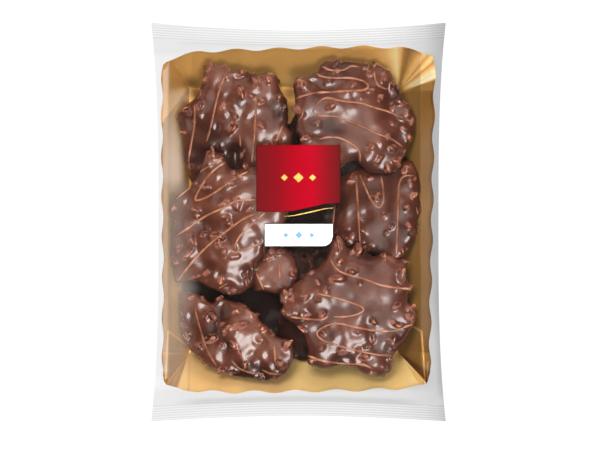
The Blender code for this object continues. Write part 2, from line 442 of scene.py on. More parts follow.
            (385, 352, 9, -1), (330, 338, 8, -0.8), (300, 300, 9, 0.6), (338, 246, 7, 1.6),
            (283, 296, 8, 1.6),
        ),
    },
    "gingerbread_middle_right": {
        "middle": (376, 220), "z": 9.8, "rise": (8.4, -4.0),
        "outline": (
            (334, 180), (345, 170), (362, 166), (385, 168), (402, 160), (413, 160), (419, 172), (420, 195),
            (419, 220), (415, 240), (406, 256), (396, 268), (386, 264), (376, 255), (362, 249), (348, 248),
            (337, 246), (331, 232), (331, 205),
        ),
        "lumps": (
            (352, 216, 13, 0.8), (380, 216, 13, 0.8), (406, 196, 10, 1.0), (409, 168, 8, 1.6),
            (390, 248, 9, -1.0),
        ),
        "calm": ((376, 222, 24, 1), (352, 205, 16, 0.8)),
        "nuts": (
            (352, 182, 3.5), (363, 220, 2.5), (348, 240, 3), (388, 233, 2.5), (410, 226, 3), (386, 217, 3),
            (415, 196, 3.5), (370, 179, 3.5), (378, 198, 3.5), (407, 170, 5), (416, 168, 4), (412, 184, 3),
            (404, 252, 3), (408, 208, 3), (392, 228, 2.5), (413, 180, 3),
        ),
        "facets": (
            (352, 212, 5, 0.5), (364, 214, 4, 0.5), (378, 206, 5, 0.3), (407, 190, 4, 0.3),
            (376, 232, 9, 0.25),
        ),
        "painted_tones": (
            (376, 220, 60, -1.4), (400, 172, 12, -1.2), (408, 236, 10, -1), (405, 215, 10, -0.8),
            (362, 250, 8, -1.6), (380, 256, 8, -1.6),
        ),
    },
    "gingerbread_middle": {
        "middle": (269, 270), "z": 8.7, "thickness": 13.0, "rise": (9.1, -5.3), "scattered": 0.3,
        "outline": (
            (240, 262), (247, 250), (264, 244), (280, 245), (291, 251), (298, 262), (299, 280), (296, 293),
            (284, 296), (270, 293), (256, 291), (244, 287), (238, 276),
        ),
        "lumps": ((272, 253, 7, 1.8), (264, 283, 10, 2.2), (286, 276, 9, -1.0)),
        "calm": ((285, 270, 13, 1),),
        "nuts": (
            (265, 253, 5), (273, 251, 4.5), (281, 252, 4), (270, 259, 4), (256, 270, 3), (295, 276, 2.5),
            (275, 257, 3),
        ),
        "facets": (
            (268, 287, 3.5, 1), (262, 280, 3, 0.7), (284, 268, 7, 0.3), (262, 252, 2.5, 1),
            (256, 258, 3, 1), (272, 270, 3, 0.5),
        ),
        "painted_tones": ((270, 254, 9, 1.6), (276, 270, 18, 3.4), (252, 284, 7, -1.0)),
    },
    # The hidden lower gingerbreads have darker coats, painted shade for the deep gaps they show in.
    "gingerbread_under_upper": {
        "middle": (308, 178), "z": 5.7, "thickness": 8.8, "light": 0.09,
        "outline": (
            (262, 126), (277, 122), (290, 124), (297, 108), (315, 112), (338, 124), (358, 146), (368, 172),
            (356, 205), (340, 236), (312, 252), (284, 250), (264, 228), (256, 180), (254, 146),
        ),
        "nuts": ((297, 122, 5), (290, 140, 4)),
    },
    "gingerbread_under_lower": {
        "middle": (332, 306), "z": 6.2, "thickness": 9.8, "light": 0.24,
        "outline": (
            (286, 248), (312, 244), (345, 245), (364, 246), (382, 258), (380, 290), (372, 322), (356, 350),
            (330, 360), (306, 363), (286, 357), (276, 340), (282, 310), (288, 282),
        ),
        "nuts": ((306, 258, 5), (316, 252, 4), (312, 266, 4)),
        "painted_tones": ((364, 253, 13, -4),),
    },
    "gingerbread_under_left": {
        "middle": (238, 306), "z": 4.6, "thickness": 6.4, "light": 0.05,
        "outline": (
            (186, 262), (205, 252), (230, 252), (252, 264), (274, 284), (290, 296), (296, 320), (294, 344),
            (270, 352), (244, 350), (214, 338), (194, 318), (182, 300), (180, 280),
        ),
    },
}

# The body's net, its roundness and its edge, which stays inside the outline that the nuts stand
# out to, and how much of the top's waves is gone where it is calm.
ANGLES = 240
LEVELS = 60
ROUNDNESS = 3.0
NUT_MARGIN = 0.6 * MM
EDGE_RAGGEDNESS = 0.9 * MM
EDGE_WAVE_SIZE = 4 * MM
EDGE_RING = 30 * MM
EDGE_SMOOTHING = ANGLES // 3
CALMNESS = 0.85

# The two sizes of the waves, with their height, and how far their seeds are from the gingerbread's.
WAVES = ((15 * MM, 1.5 * MM, 20), (6 * MM, 0.42 * MM, 40))

# From where to where up the body its swelling and its facets set in, as shares of half of its
# thickness, and the facets' reach in their own sizes.
SWELLING_SETS_IN = -0.3, 0.7
FACETS_SET_IN = -0.3, 0.5
FACET_REACH = 2.0
FACET_PROBE = 1.4 * MM
STEEPEST_FACET = 0.4
FACET_ROUNDS = 4

# The kinds of nut: the least and the greatest half length in mm, or in its own size for a placed
# nut, how deep the coat hides it, and the least and the greatest bareness.
NUT_KINDS = {
    "placed": {"lengths": (0.9, 1.3), "sunk": 0.05, "bare": (0.6, 1.0)},
    "on top": {"lengths": (1.4, 3.0), "sunk": 0.15, "bare": (0.1, 0.6)},
    "in coat": {"lengths": (1.4, 3.8), "sunk": 0.8, "bare": None},
    "on rim": {"lengths": (1.0, 3.0), "sunk": 0.2, "bare": (0.1, 0.6)},
}

# How many nuts are seeded, the share of the outline's area that those on top lie in, and the levels
# of those on the rim, whose rays start outside.
NUTS_ON_TOP = 6
NUTS_IN_COAT = 14
NUTS_ON_RIM = 34
NUTS_LIE_IN = 0.02, 0.92
RIM_NUT_LEVELS = -0.6, 0.8
RIM_NUT_START = 0.08

# How each nut leans, is stretched, set into the gingerbread and cut, and where it is bare.
NUT_TILT = 0.45
NUT_TWIST = 0.001
NUT_STRETCH = (1.0, 0.5, 0.5), (1.45, 0.78, 0.8)
NUT_DEPTH = 1.6
NUT_BALL = 1.15
NUT_CUTS = 7
NUT_CUTS_AT = 0.5, 0.85
NUT_BARE_WITHIN = 1.35, 0.95
NUT_SEARCH = 1.5

# The fineness of the skin round the body and its nuts, and of the hidden ones', and the passes that
# smooth it into a coat. A bare nut gets only the first of them.
VOXEL = 0.55 * MM
VOXEL_UNDER = 0.9 * MM
COAT_PASSES = 14
NUT_PASSES = 1
COAT_FLOW = 0.5

# The passes over the coat's bends, which show its ridges and creases, where painted shade darkens
# the creases, and how much painted shade darkens its sides, between what heights in halves of its
# thickness.
BEND_PASSES = 2
SIDE_PAINTED_SHADE = 1.8
SIDE_HEIGHTS = 0.7, 0.0


def outline_reach(spec):
    """The distance of the outline from the middle at each bearing."""
    corners = path(*spec["outline"]) - at(*spec["middle"])
    bearing = np.arctan2(corners[:, 1], corners[:, 0])
    order = np.argsort(bearing)
    angle = np.linspace(-np.pi, np.pi, ANGLES, endpoint=False)
    reach = np.interp(angle, bearing[order], np.hypot(*corners.T)[order], period=2 * np.pi)
    ring = np.stack([np.cos(angle), np.sin(angle)], axis=1)
    rough = bumpy(np.c_[ring * EDGE_RING, np.zeros(ANGLES)], EDGE_WAVE_SIZE, spec["seed"])
    return ring, reach - NUT_MARGIN + rough * EDGE_RAGGEDNESS


def up_the_body(points, sets_in, half):
    """How far up the body each point is, from 0 to 1, within a range in half thicknesses."""
    return smoothstep(points[:, 2], *[share * half for share in sets_in])


def body_of(spec):
    """The bare gingerbread, as points and faces from its underside to its top."""
    middle = np.array(at(*spec["middle"]))
    ring, reach = outline_reach(spec)
    window = np.hanning(EDGE_SMOOTHING)
    broad = np.convolve(np.tile(reach, 3), window / window.sum(), "same")[ANGLES : 2 * ANGLES]
    lean = np.linspace(-np.pi / 2, np.pi / 2, LEVELS + 2)[1:-1]
    share = np.cos(lean)[:, None]
    half = spec["thickness"] * MM / 2
    height = np.sign(lean) * (1 - share[:, 0] ** ROUNDNESS) ** (1 / ROUNDNESS) * half
    out = share * (broad + (reach - broad) * share**2)
    plan = middle + out[..., None] * ring
    points = np.concatenate([plan, np.broadcast_to(height[:, None, None], (LEVELS, ANGLES, 1))], axis=2)
    points = np.concatenate([points.reshape(-1, 3), [[*middle, -half], [*middle, half]]])
    points[:, 2] += swelling(points, spec) * up_the_body(points, SWELLING_SETS_IN, half)

    turn = np.arange(ANGLES)
    after = (turn + 1) % ANGLES
    last = (LEVELS - 1) * ANGLES
    below = LEVELS * ANGLES
    faces = [*grid_faces(LEVELS, ANGLES, wrap=True)]
    faces += [*np.stack([after, turn, np.full(ANGLES, below)], axis=1)]
    faces += [*np.stack([last + turn, last + after, np.full(ANGLES, below + 1)], axis=1)]
    return points, faces, half


def spots(points, marks):
    """The sum of soft round marks (px, py, radius in px, height) at each point."""
    total = np.zeros(len(points))
    for px, py, size, height in marks:
        away = np.hypot(*(points[:, :2] - at(px, py)).T) / (size * PIXEL)
        total += height * np.exp(-(away**2))
    return total


def swelling(points, spec):
    """How far the top swells at each point of the bare gingerbread."""
    waves = sum(bumpy(points, size, spec["seed"] + apart, 1) * height for size, height, apart in WAVES)
    calm = np.minimum(spots(points, spec["calm"]), 1)
    return waves * (1 - CALMNESS * calm) + spots(points, spec["lumps"]) * MM


def glint_slope(place):
    """The slope that mirrors the front light to the camera at a place of the pack."""
    towards = Vector(FRONT_LIGHT).normalized() * LIGHT_DISTANCE - place
    halfway = towards.normalized() + (Vector((0, 0, CAMERA_DISTANCE)) - place).normalized()
    return -np.array(halfway[:2]) / halfway.z


def lean_facets(coat, spec, half):
    """Leans the coat's facets as they are asked to, in a few rounds, because neighbours move each
    other."""
    upward = up_the_body(coat, FACETS_SET_IN, half)
    rises = np.tan(np.radians(spec["rise"]))
    for _ in range(FACET_ROUNDS):
        for px, py, size, lean in spec["facets"]:
            middle = at(px, py)
            away = coat[:, :2] - middle
            distance = np.hypot(*away.T)
            near = (distance < FACET_PROBE) & (upward > 0.5)
            plane = np.c_[away[near], np.ones(near.sum())]
            slope = np.linalg.lstsq(plane, coat[near, 2], rcond=None)[0][:2]
            asked = glint_slope(Vector((*middle, spec["z"] * MM + half))) * lean - rises
            change = np.clip(asked - slope, -STEEPEST_FACET, STEEPEST_FACET)
            reach = size * FACET_REACH * PIXEL
            coat[:, 2] += (away @ change) * np.exp(-((distance / reach) ** 2)) * upward


def nut_places(tree, spec, half, draw):
    """Where nuts sit on the bare gingerbread: the place, the way out of it, the half length and
    the kind."""
    found = []
    middle = np.array([*at(*spec["middle"]), 0.0])
    ring, reach = outline_reach(spec)

    def add(kind, start, towards, unit=MM):
        length = unit * draw.uniform(*NUT_KINDS[kind]["lengths"])
        place, normal = tree.ray_cast(Vector(start), Vector(towards))[:2]
        if place is not None:
            found.append((np.array(place), np.array(normal), length, kind))

    for px, py, size in spec["nuts"]:
        add("placed", (*at(px, py), DROP_HEIGHT), DOWN, size * PIXEL)
    on_top = NUTS_ON_TOP * spec["scattered"]
    for number in range(round((NUTS_ON_TOP + NUTS_IN_COAT) * spec["scattered"])):
        bearing = draw.integers(ANGLES)
        out = reach[bearing] * draw.uniform(*NUTS_LIE_IN) ** 0.5
        start = middle + [*(ring[bearing] * out), DROP_HEIGHT]
        add("in coat" if number >= on_top else "on top", start, DOWN)
    for _ in range(round(NUTS_ON_RIM * spec["scattered"])):
        outward = np.array([*ring[draw.integers(ANGLES)], 0.0])
        level = np.array([0, 0, half * draw.uniform(*RIM_NUT_LEVELS)])
        add("on rim", middle + outward * RIM_NUT_START + level, -outward)
    return found


def nut_frames(places, draw):
    """Each nut's own axes and half lengths, as the matrix that takes a unit ball to it, with its
    middle and how bare it is."""
    frames = []
    for place, normal, length, kind in places:
        sunk, bare = NUT_KINDS[kind]["sunk"], NUT_KINDS[kind]["bare"]
        along = np.cross(normal, draw.normal(size=3))
        along = along / np.linalg.norm(along) + normal * draw.uniform(-NUT_TILT, NUT_TILT)
        along /= np.linalg.norm(along)
        across = np.cross(along, normal + NUT_TWIST)
        across /= np.linalg.norm(across)
        lengths = length * draw.uniform(*NUT_STRETCH)
        axes = np.stack([along, across, np.cross(along, across)], axis=1) * lengths
        bareness = draw.uniform(*bare) if bare else 0
        frames.append((axes, place - normal * sunk * lengths[2] * NUT_DEPTH, bareness))
    return frames


def nut_meshes(frames, draw):
    """Angular bits of nut: balls with flat cuts, stretched to their frames."""
    ball = bmesh.new()
    bmesh.ops.create_icosphere(ball, subdivisions=3, radius=NUT_BALL)
    shape = np.array([v.co for v in ball.verts])
    faces = np.array([[v.index for v in f.verts] for f in ball.faces])
    ball.free()
    points = []
    for axes, middle, _ in frames:
        cut = shape.copy()
        for _ in range(NUT_CUTS):
            way = draw.normal(size=3)
            way /= np.linalg.norm(way)
            past = np.maximum(cut @ way - draw.uniform(*NUT_CUTS_AT), 0)
            cut -= past[:, None] * way
        points.append(cut @ axes.T + middle)
    starts = np.arange(len(frames))[:, None, None] * len(shape)
    return np.concatenate(points), (faces[None] + starts).reshape(-1, 3)


def nearness_to_nuts(points, frames):
    """How bare the nut at each point is, from 0, no nut or a wholly coated one, to 1."""
    near = np.zeros(len(points))
    for axes, middle, bareness in frames:
        reach = np.linalg.norm(axes, axis=0).max() * NUT_SEARCH
        close = np.flatnonzero(np.abs(points - middle).max(axis=1) < reach)
        away = np.linalg.norm((points[close] - middle) @ np.linalg.inv(axes).T, axis=1)
        near[close] = np.maximum(near[close], smoothstep(away, *NUT_BARE_WITHIN) * bareness)
    return near


def remeshed(thing, voxel):
    """One closed skin round everything in the mesh, made of even faces."""
    modifier = thing.modifiers.new("skin", "REMESH")
    modifier.mode = "VOXEL"
    modifier.voxel_size = voxel
    modifier.adaptivity = 0
    graph = bpy.context.evaluated_depsgraph_get()
    mesh = bpy.data.meshes.new_from_object(thing.evaluated_get(graph))
    thing.modifiers.clear()
    old = thing.data
    thing.data = mesh
    bpy.data.meshes.remove(old)


def tilt(spec):
    """The gingerbread's place: turned about its middle by its rises, and lifted to its height."""
    middle = Vector((*at(*spec["middle"]), 0))
    rise_x, rise_y = np.radians(spec["rise"])
    turn = Matrix.Rotation(-rise_x, 4, "Y") @ Matrix.Rotation(rise_y, 4, "X")
    lifted = Matrix.Translation(middle + Vector((0, 0, spec["z"] * MM)))
    return lifted @ turn @ Matrix.Translation(-middle)


def make_gingerbread(name, spec, material):
    """One gingerbread in its place: body and nuts in one skin, which is smoothed into a coat."""
    draw = np.random.default_rng(spec["seed"])
    points, faces, half = body_of(spec)
    tree = BVHTree.FromPolygons([Vector(p) for p in points], [[int(i) for i in f] for f in faces])
    frames = nut_frames(nut_places(tree, spec, half, draw), draw)
    nut_points, nut_faces = nut_meshes(frames, draw)
    faces = [*faces, *(nut_faces + len(points))]
    thing = mesh_object(name, np.concatenate([points, nut_points]), faces)
    voxel = VOXEL_UNDER if "under" in name else VOXEL
    remeshed(thing, voxel)

    mesh = thing.data
    ends = edge_ends(mesh)
    coat = coordinates(mesh)
    nut = nearness_to_nuts(coat, frames)
    for number in range(COAT_PASSES):
        share = COAT_FLOW * (1 if number < NUT_PASSES else 1 - nut[:, None])
        coat = coat + share * (neighbour_mean(coat, ends) - coat)
    lean_facets(coat, spec, half)
    set_coordinates(mesh, coat)
    normals = np.empty(len(coat) * 3)
    mesh.vertices.foreach_get("normal", normals)
    bend = ((coat - neighbour_mean(coat, ends)) * normals.reshape(-1, 3)).sum(axis=1) / voxel
    for _ in range(BEND_PASSES):
        bend = 0.5 * bend + 0.5 * neighbour_mean(bend, ends)
    # Painted light and shade: the coat is darker where it lies low and low on its sides, paler where it
    # swells up, and darker or paler at its painted spots.
    depth = swelling(coat, spec) / MM - SIDE_PAINTED_SHADE * up_the_body(coat, SIDE_HEIGHTS, half)
    store(mesh, "painted_light_and_shade", depth + spots(coat, spec["painted_tones"]))
    store(mesh, "ridge", bend)
    store(mesh, "nut", nut)
    mesh.transform(tilt(spec))
    placed = coordinates(mesh)
    placed[:, 2] = np.maximum(placed[:, 2], tray_height(placed[:, 0], placed[:, 1]) + REST_GAP)
    set_coordinates(mesh, placed)
    mesh.shade_smooth()
    return piece(thing, material)


# ---------------------------------------------------------------- drizzle

# The drizzle's lines on each gingerbread, as points in px.
DRIZZLE = {
    "gingerbread_upper_left": (
        ((195, 104), (195, 117), (194, 130), (191, 147), (189, 160), (190, 170)),
        ((228, 69), (224, 80), (219, 94), (215, 110), (212, 124), (207, 142)),
        ((256, 97), (256, 110), (255, 127), (254, 145), (252, 163)),
        ((240, 135), (241, 147)),
        ((283, 126), (278, 137), (275, 146)),
    ),
    "gingerbread_upper_right": (
        ((321, 67), (330, 71), (343, 71), (351, 67), (359, 68)),
        ((315, 73), (320, 77), (332, 79), (350, 79), (363, 82), (368, 87), (363, 91), (347, 92),
         (332, 93), (315, 94), (300, 98), (294, 101)),
        ((412, 122), (403, 119), (390, 113), (376, 109), (360, 104), (342, 102), (326, 99), (318, 104),
         (313, 112), (318, 116), (338, 118), (358, 126), (376, 134), (392, 140), (402, 147)),
        ((319, 140), (328, 138), (340, 139), (352, 145), (359, 153), (360, 167)),
        ((374, 72), (375, 81), (379, 87), (387, 90)),
        ((303, 111), (302, 117), (296, 124)),
    ),
    "gingerbread_middle_left": (
        ((200, 173), (211, 166), (225, 157)),
        ((228, 162), (218, 168), (208, 178), (200, 190), (196, 200), (204, 199), (217, 192), (232, 181),
         (248, 172)),
        ((178, 235), (189, 228), (205, 217), (222, 209), (238, 201), (256, 200)),
        ((177, 199), (191, 188)),
        ((178, 281), (188, 268), (200, 254), (214, 241), (230, 229), (244, 219), (256, 214)),
        ((265, 213), (254, 223), (243, 233), (237, 242), (236, 249), (243, 250), (262, 243)),
        ((219, 288), (228, 283)),
    ),
    "gingerbread_middle": (
        ((279, 262), (280, 278)),
        ((255, 270), (260, 281), (264, 290)),
    ),
    "gingerbread_middle_right": (
        ((335, 205), (334, 215), (333, 225)),
        ((356, 175), (357, 193), (358, 210), (359, 226), (360, 244)),
        ((360, 175), (365, 187), (371, 200), (378, 208), (383, 202), (383, 190), (381, 176)),
        ((414, 176), (404, 176), (399, 184), (398, 200), (397, 226), (396, 256)),
        ((416, 207), (419, 223), (420, 238)),
    ),
    "gingerbread_lower_right": (
        ((330, 256), (332, 263), (338, 270), (347, 274), (362, 278), (378, 284), (392, 287), (413, 289)),
        ((317, 293), (331, 296), (347, 301), (361, 306), (363, 310), (356, 314), (344, 316), (333, 316)),
        ((290, 316), (304, 318), (320, 319), (328, 316)),
        ((414, 323), (405, 326), (394, 330), (376, 330), (358, 327), (340, 323), (329, 324), (319, 329),
         (317, 334), (324, 340), (339, 345), (358, 350), (378, 354), (393, 355)),
        ((306, 354), (320, 359), (336, 362), (352, 363), (364, 364), (372, 368)),
    ),
    "gingerbread_lower_left": (
        ((195, 308), (198, 320), (202, 333), (206, 346), (211, 356), (217, 365)),
        ((274, 342), (275, 354), (276, 365)),
        ((232, 360), (240, 368), (252, 372), (264, 373)),
        ((262, 369), (272, 373), (282, 373)),
    ),
}

# How pale the drizzle is painted on each gingerbread: painted light and shade for how that
# gingerbread is lit.
DRIZZLE_PAINTED_LIGHT = {
    "gingerbread_upper_left": 0.57, "gingerbread_upper_right": 0.62, "gingerbread_middle_left": 0.74,
    "gingerbread_middle": 0.60, "gingerbread_middle_right": 0.57, "gingerbread_lower_right": 0.72,
    "gingerbread_lower_left": 0.54,
}

# The drizzle's radius and net, how flat, sunk and uneven it is, and how many points its taper has.
DRIZZLE_RADIUS = 0.68 * MM
DRIZZLE_STEP = 0.6 * MM
DRIZZLE_SIDES = 8
DRIZZLE_FLATNESS = 0.8
DRIZZLE_SINK = 0.05 * MM
DRIZZLE_UNEVENNESS = 0.4
DRIZZLE_LUMP_SIZE = 5 * MM
DRIZZLE_TAPER = 5
DRIZZLE_THINNEST = 0.15

# The passes that smooth a line, and how short it may be.
DRIZZLE_PASSES = 3
FEWEST_POINTS = 4


def smooth_line(points, step):
    """A smooth curve through the points, with its own points a step apart."""
    ends = np.concatenate([[2 * points[0] - points[1]], points, [2 * points[-1] - points[-2]]])
    pieces = []
    for a, b, c, d in zip(ends, ends[1:], ends[2:], ends[3:]):
        share = np.linspace(0, 1, max(2, int(np.hypot(*(c - b)) / step)), endpoint=False)[:, None]
        square = 2 * a - 5 * b + 4 * c - d
        cube = 3 * b - a - 3 * c + d
        pieces.append(0.5 * (2 * b + (c - a) * share + square * share**2 + cube * share**3))
    return np.concatenate([*pieces, points[-1:]])


def laid_on(tree, line):
    """The line's points where they meet the surface from above. It ends where there is none."""
    found = [dropped(tree, x, y) for x, y in line]
    return np.array([place[:] for place in found if place is not None])


def rope(line, radius):
    """Rings of points round a line, with the line's radius at each point, and their faces."""
    along = np.gradient(line, axis=0)
    along /= np.linalg.norm(along, axis=1)[:, None]
    side = np.cross(along, [0, 0, 1])
    side /= np.linalg.norm(side, axis=1)[:, None]
    up = np.cross(side, along)
    turn = np.linspace(0, 2 * np.pi, DRIZZLE_SIDES, endpoint=False)[None, :, None]
    wide = radius[:, None, None]
    rings = line[:, None] + wide * np.cos(turn) * side[:, None]
    rings = rings + wide * DRIZZLE_FLATNESS * np.sin(turn) * up[:, None]
    faces = [*grid_faces(len(line), DRIZZLE_SIDES, wrap=True), tuple(range(DRIZZLE_SIDES))[::-1]]
    faces.append(tuple(range((len(line) - 1) * DRIZZLE_SIDES, len(line) * DRIZZLE_SIDES)))
    return rings.reshape(-1, 3), faces


def make_drizzle(gingerbreads, material):
    """The drizzle's lines on all the gingerbreads, as one mesh."""
    points, faces, light = [], [], []
    for name, lines in DRIZZLE.items():
        tree = tree_of(gingerbreads[name])
        for number, pixels in enumerate(lines):
            line = laid_on(tree, smooth_line(path(*pixels), DRIZZLE_STEP))
            if len(line) < FEWEST_POINTS:
                continue
            for _ in range(DRIZZLE_PASSES):
                line[1:-1] = 0.5 * line[1:-1] + 0.25 * (line[2:] + line[:-2])
            place = np.linspace(0, 1, len(line))
            uneven = 1 + DRIZZLE_UNEVENNESS * bumpy(line, DRIZZLE_LUMP_SIZE, number + len(name))
            from_end = np.minimum(place, 1 - place) * len(line)
            taper = np.sqrt(np.clip(from_end / DRIZZLE_TAPER, DRIZZLE_THINNEST, 1))
            radius = DRIZZLE_RADIUS * uneven * taper
            ring_points, ring_faces = rope(line - [0, 0, DRIZZLE_SINK], radius)
            faces += [tuple(i + len(light) for i in face) for face in ring_faces]
            points.append(ring_points)
            light += [DRIZZLE_PAINTED_LIGHT[name]] * len(ring_points)
    drizzle = mesh_object("drizzle", np.concatenate(points), faces)
    # Each line keeps the painted light and shade of its gingerbread.
    store(drizzle.data, "light", light)
    return piece(drizzle, material)


# ---------------------------------------------------------------- tray

# The tray's cut rim, a side at a time and anticlockwise from the lower left: the run along the
# side, the side's middle line as (run, offset) pairs, the place of a crest of the wavy cut, the
# pitch and half height of the waves, which way is out, and the corner that follows, all in px.
RIM_SIDES = (
    {
        "axis": 0, "run": (192, 404), "crest": 234, "pitch": 41.0, "wave": 1.4, "out": 1,
        "line": ((186, 390.8), (234, 391.7), (276, 391.2), (316, 390.5), (358, 389.8), (404, 388.2)),
        "corner": ((410, 386.8), (416, 385.2), (422, 384.3), (426.5, 383.4), (428, 379)),
    },
    {
        "axis": 1, "run": (372, 66), "crest": 364, "pitch": 41.2, "wave": 1.2, "out": 1,
        "line": ((60, 433.9), (76, 434.2), (140, 432.9), (220, 431.8), (300, 430.2), (380, 429.5)),
        "corner": ((433, 58), (431, 55.8), (424, 54), (416, 50.9), (409, 48.7)),
    },
    {
        "axis": 0, "run": (404, 192), "crest": 236, "pitch": 42.4, "wave": 1.3, "out": -1,
        "line": ((186, 52.8), (234, 50.5), (280, 49.3), (324, 47.9), (365, 47.3), (404, 47.9)),
        "corner": ((186, 54), (178, 57.4), (171, 60.4), (166.7, 62.4), (163.5, 65)),
    },
    {
        "axis": 1, "run": (72, 374), "crest": 157, "pitch": 40.0, "wave": 0.9, "out": -1,
        "line": ((66, 162.2), (150, 162.4), (216, 162.8), (265, 163.4), (340, 163.0), (380, 163.2)),
        "corner": ((164.5, 381), (166.7, 384.4), (172, 386), (178, 387.4), (185, 390.2)),
    },
)

# The steps along the rim, how far from a side's ends its waves set in, and the tray's net, which
# has rings from near the floor's middle to its edge and then cells up the walls.
RIM_STEP_PX = 1.3
RIM_WAVES_SET_IN = -4, 12
TRAY_STEP = 0.8 * MM
WALL_CELLS = 34
FLOOR_RINGS = 14
FLOOR_MIDDLE = 0.99
FLOOR_CORNER = 2.0 * MM
SHARP_FOLD = np.radians(28)

# Where each wall ends; how far out along it its slope eases into a lip, and how much of the rise
# is below; and the rise at the wall's foot and past its end.
WALL_RIGHT = 80.0 * MM
WALL_LEFT = 81.5 * MM
WALL_TOP = RIM_HALF_LENGTH + 1.5 * MM
WALL_BOTTOM = RIM_HALF_LENGTH - 0.5 * MM
LEFT_LIP = 0.79, 0.90
RIGHT_LIP = 0.66, 0.84
NO_LIP = 0.5, 0.5
WALL_FOOT = 0.06, 0.04
PAST_WALL = 1.2, 1.16

# The painted light and shade on the foil of each wall, standing in for what each wall reflects, from
# where the side walls' lips have their own.
WALL_PAINTED_LIGHT = {
    "right": -0.82, "right lip": -0.25, "left": -0.25, "left lip": -0.3, "bottom": 0.8, "top": -0.15,
}
TONE_EDGE = 2 * MM
RIGHT_LIP_TONE_FROM = 71 * MM, 75 * MM
LEFT_LIP_TONE_FROM = 75 * MM, 78 * MM

# The dents of the walls: their size, how much they are stretched along the pack, and their depth.
DENTS = ((16 * MM, 1, 0.16 * MM), (2.5 * MM, 0.12, 0.05 * MM))
DENTS_FROM = CARD_BASE + CARD, CARD_BASE + 5 * MM

# The folds in the tray's corners: where they are at their full height, and over what share of that
# way their painted light and shade set in. They fan out from a point of the floor, in px. For each
# bearing in degrees there is the fold's rise at the rim in mm, and the painted light and shade on
# the foil as that part of the fold catches the light, dark below 0 and pale above it.
FOLD_REACH = 27 * MM
FOLD_TONES_SET_IN = 0, 0.3
CORNER_FOLDS = {
    (398.5, 91): (
        (0, 0, -0.75), (15, 0, -0.75), (19, 0.7, 1.3), (23, 0.2, 1.1), (29, 0.4, 1.4), (34, 0.2, 0.9),
        (39, -0.4, -0.3), (45, 0.4, 1.2), (50, -0.3, -0.2), (56, 0.2, 0.7), (63, 0.1, 0.0),
        (70, 0.3, -0.5), (76, -0.4, -0.9), (82, -0.2, -0.6), (88, 0.3, 0.5), (94, 0.2, 1.2),
        (100, 0, 0.9), (108, 0, 0.2), (125, 0, -0.1),
    ),
    (398.3, 352.1): (
        (-125, 0, 0.8), (-90, 0, 0.8), (-62, 0.1, 1.0), (-51, 0.3, 0.8), (-48.5, 1.4, 1.0),
        (-46.5, -0.7, -2.2), (-43, 0.2, -1.9), (-37, -0.3, -1.6), (-28, 0, -1.0), (-12, 0.1, -0.8),
        (0, 0, -0.72),
    ),
    (188, 354): (
        (-90, 0, 0.8), (-104, 0.1, 0.8), (-107, 0.3, 0.1), (-110, -0.1, -0.7), (-117, 0.2, -0.5),
        (-121, 0.3, -0.6), (-124, 0.3, -0.1), (-127, 0, -0.7), (-140, 0.3, -0.6), (-160, 0.1, -0.7),
        (-176, 0.2, -0.5), (-183, 0.3, -0.1), (-188, 0, -0.5), (-200, 0, -0.4),
    ),
    (190, 84): (
        (85, 0, 0), (98, 0, 0), (108, 0, -0.1), (122, 0, -0.2), (136, -0.3, -0.35),
        (150, 0, -0.2), (176, 0, -0.2), (194, 0.1, -0.1), (206, 0.2, 0.3), (216, 0, 0.5), (235, 0, 0.5),
    ),
}

# Spots of painted shade and painted light on the foil, darker or paler, as (px, py, radius in px,
# change), and its sharp creases: a line in px, the painted highlight along it, the rise in mm and
# the half width in px.
TRAY_PAINTED_SPOTS = (
    (196, 92, 9, -0.45), (291, 82, 9, 0.7), (288, 110, 7, -1.5), (360, 60, 20, -0.2), (178, 108, 6, 0.5),
    (215, 382, 24, -0.38), (275, 384, 18, -0.3), (165, 104, 14, -0.4), (397, 351, 3, -1.0),
    (176, 345, 7, -0.3), (190, 81, 6, -0.7), (188, 99, 4, 0.8), (290, 91, 7, -1.25), (196, 93, 5, -1.1),
    (228, 59, 26, -0.2),
)
CREASES = (
    (((414, 327), (421, 331), (422.5, 350), (424, 372), (425, 382)), 1.2, 0.3, 0.8),
    (((427.5, 362), (427, 380)), 0.8, 0.2, 0.7),
    (((404, 359.5), (424, 379.5)), 1.0, 0.3, 0.7),
    (((168.5, 331), (167.5, 350), (166, 378)), 1.7, 0.05, 0.7),
    (((169, 331), (185, 345)), 0.9, 0.05, 0.6),
    (((190, 356), (168, 381)), 0.3, 0.15, 0.6),
    (((400, 92), (412, 87.5), (420, 84), (435, 76)), 0.7, 0.15, 1.0),
)


def rim_line():
    """The tray's cut rim seen from above, as points close together."""
    pieces = []
    for side in RIM_SIDES:
        start, stop = side["run"]
        run = np.linspace(start, stop, int(abs(stop - start) / RIM_STEP_PX) + 1)
        ends = np.minimum(abs(run - start), abs(run - stop))
        wave = np.cos(2 * np.pi * (run - side["crest"]) / side["pitch"]) * side["wave"]
        offset = looked_up(run, side["line"]) + side["out"] * wave * smoothstep(ends, *RIM_WAVES_SET_IN)
        pieces.append(np.stack([run, offset] if side["axis"] == 0 else [offset, run], axis=1))
        pieces.append(np.array(side["corner"]))
    pixels = np.concatenate(pieces)
    closed = np.concatenate([pixels, pixels[:1]])
    run = np.concatenate([[0], np.cumsum(np.linalg.norm(np.diff(closed, axis=0), axis=1))])
    places = np.linspace(0, run[-1], int(run[-1] * PIXEL / TRAY_STEP), endpoint=False)
    return np.stack(at(*[np.interp(places, run, pixel) for pixel in closed.T]), axis=1)


def floor_edge_below(rim):
    """The point of the floor's rounded edge that is nearest to each point of the rim."""
    low = np.array([FLOOR_LEFT, FLOOR_BOTTOM]) + FLOOR_CORNER
    high = np.array([FLOOR_RIGHT, FLOOR_TOP]) - FLOOR_CORNER
    inner = np.clip(rim, low, high)
    outward = rim - inner
    return inner + outward / np.linalg.norm(outward, axis=1)[:, None] * FLOOR_CORNER


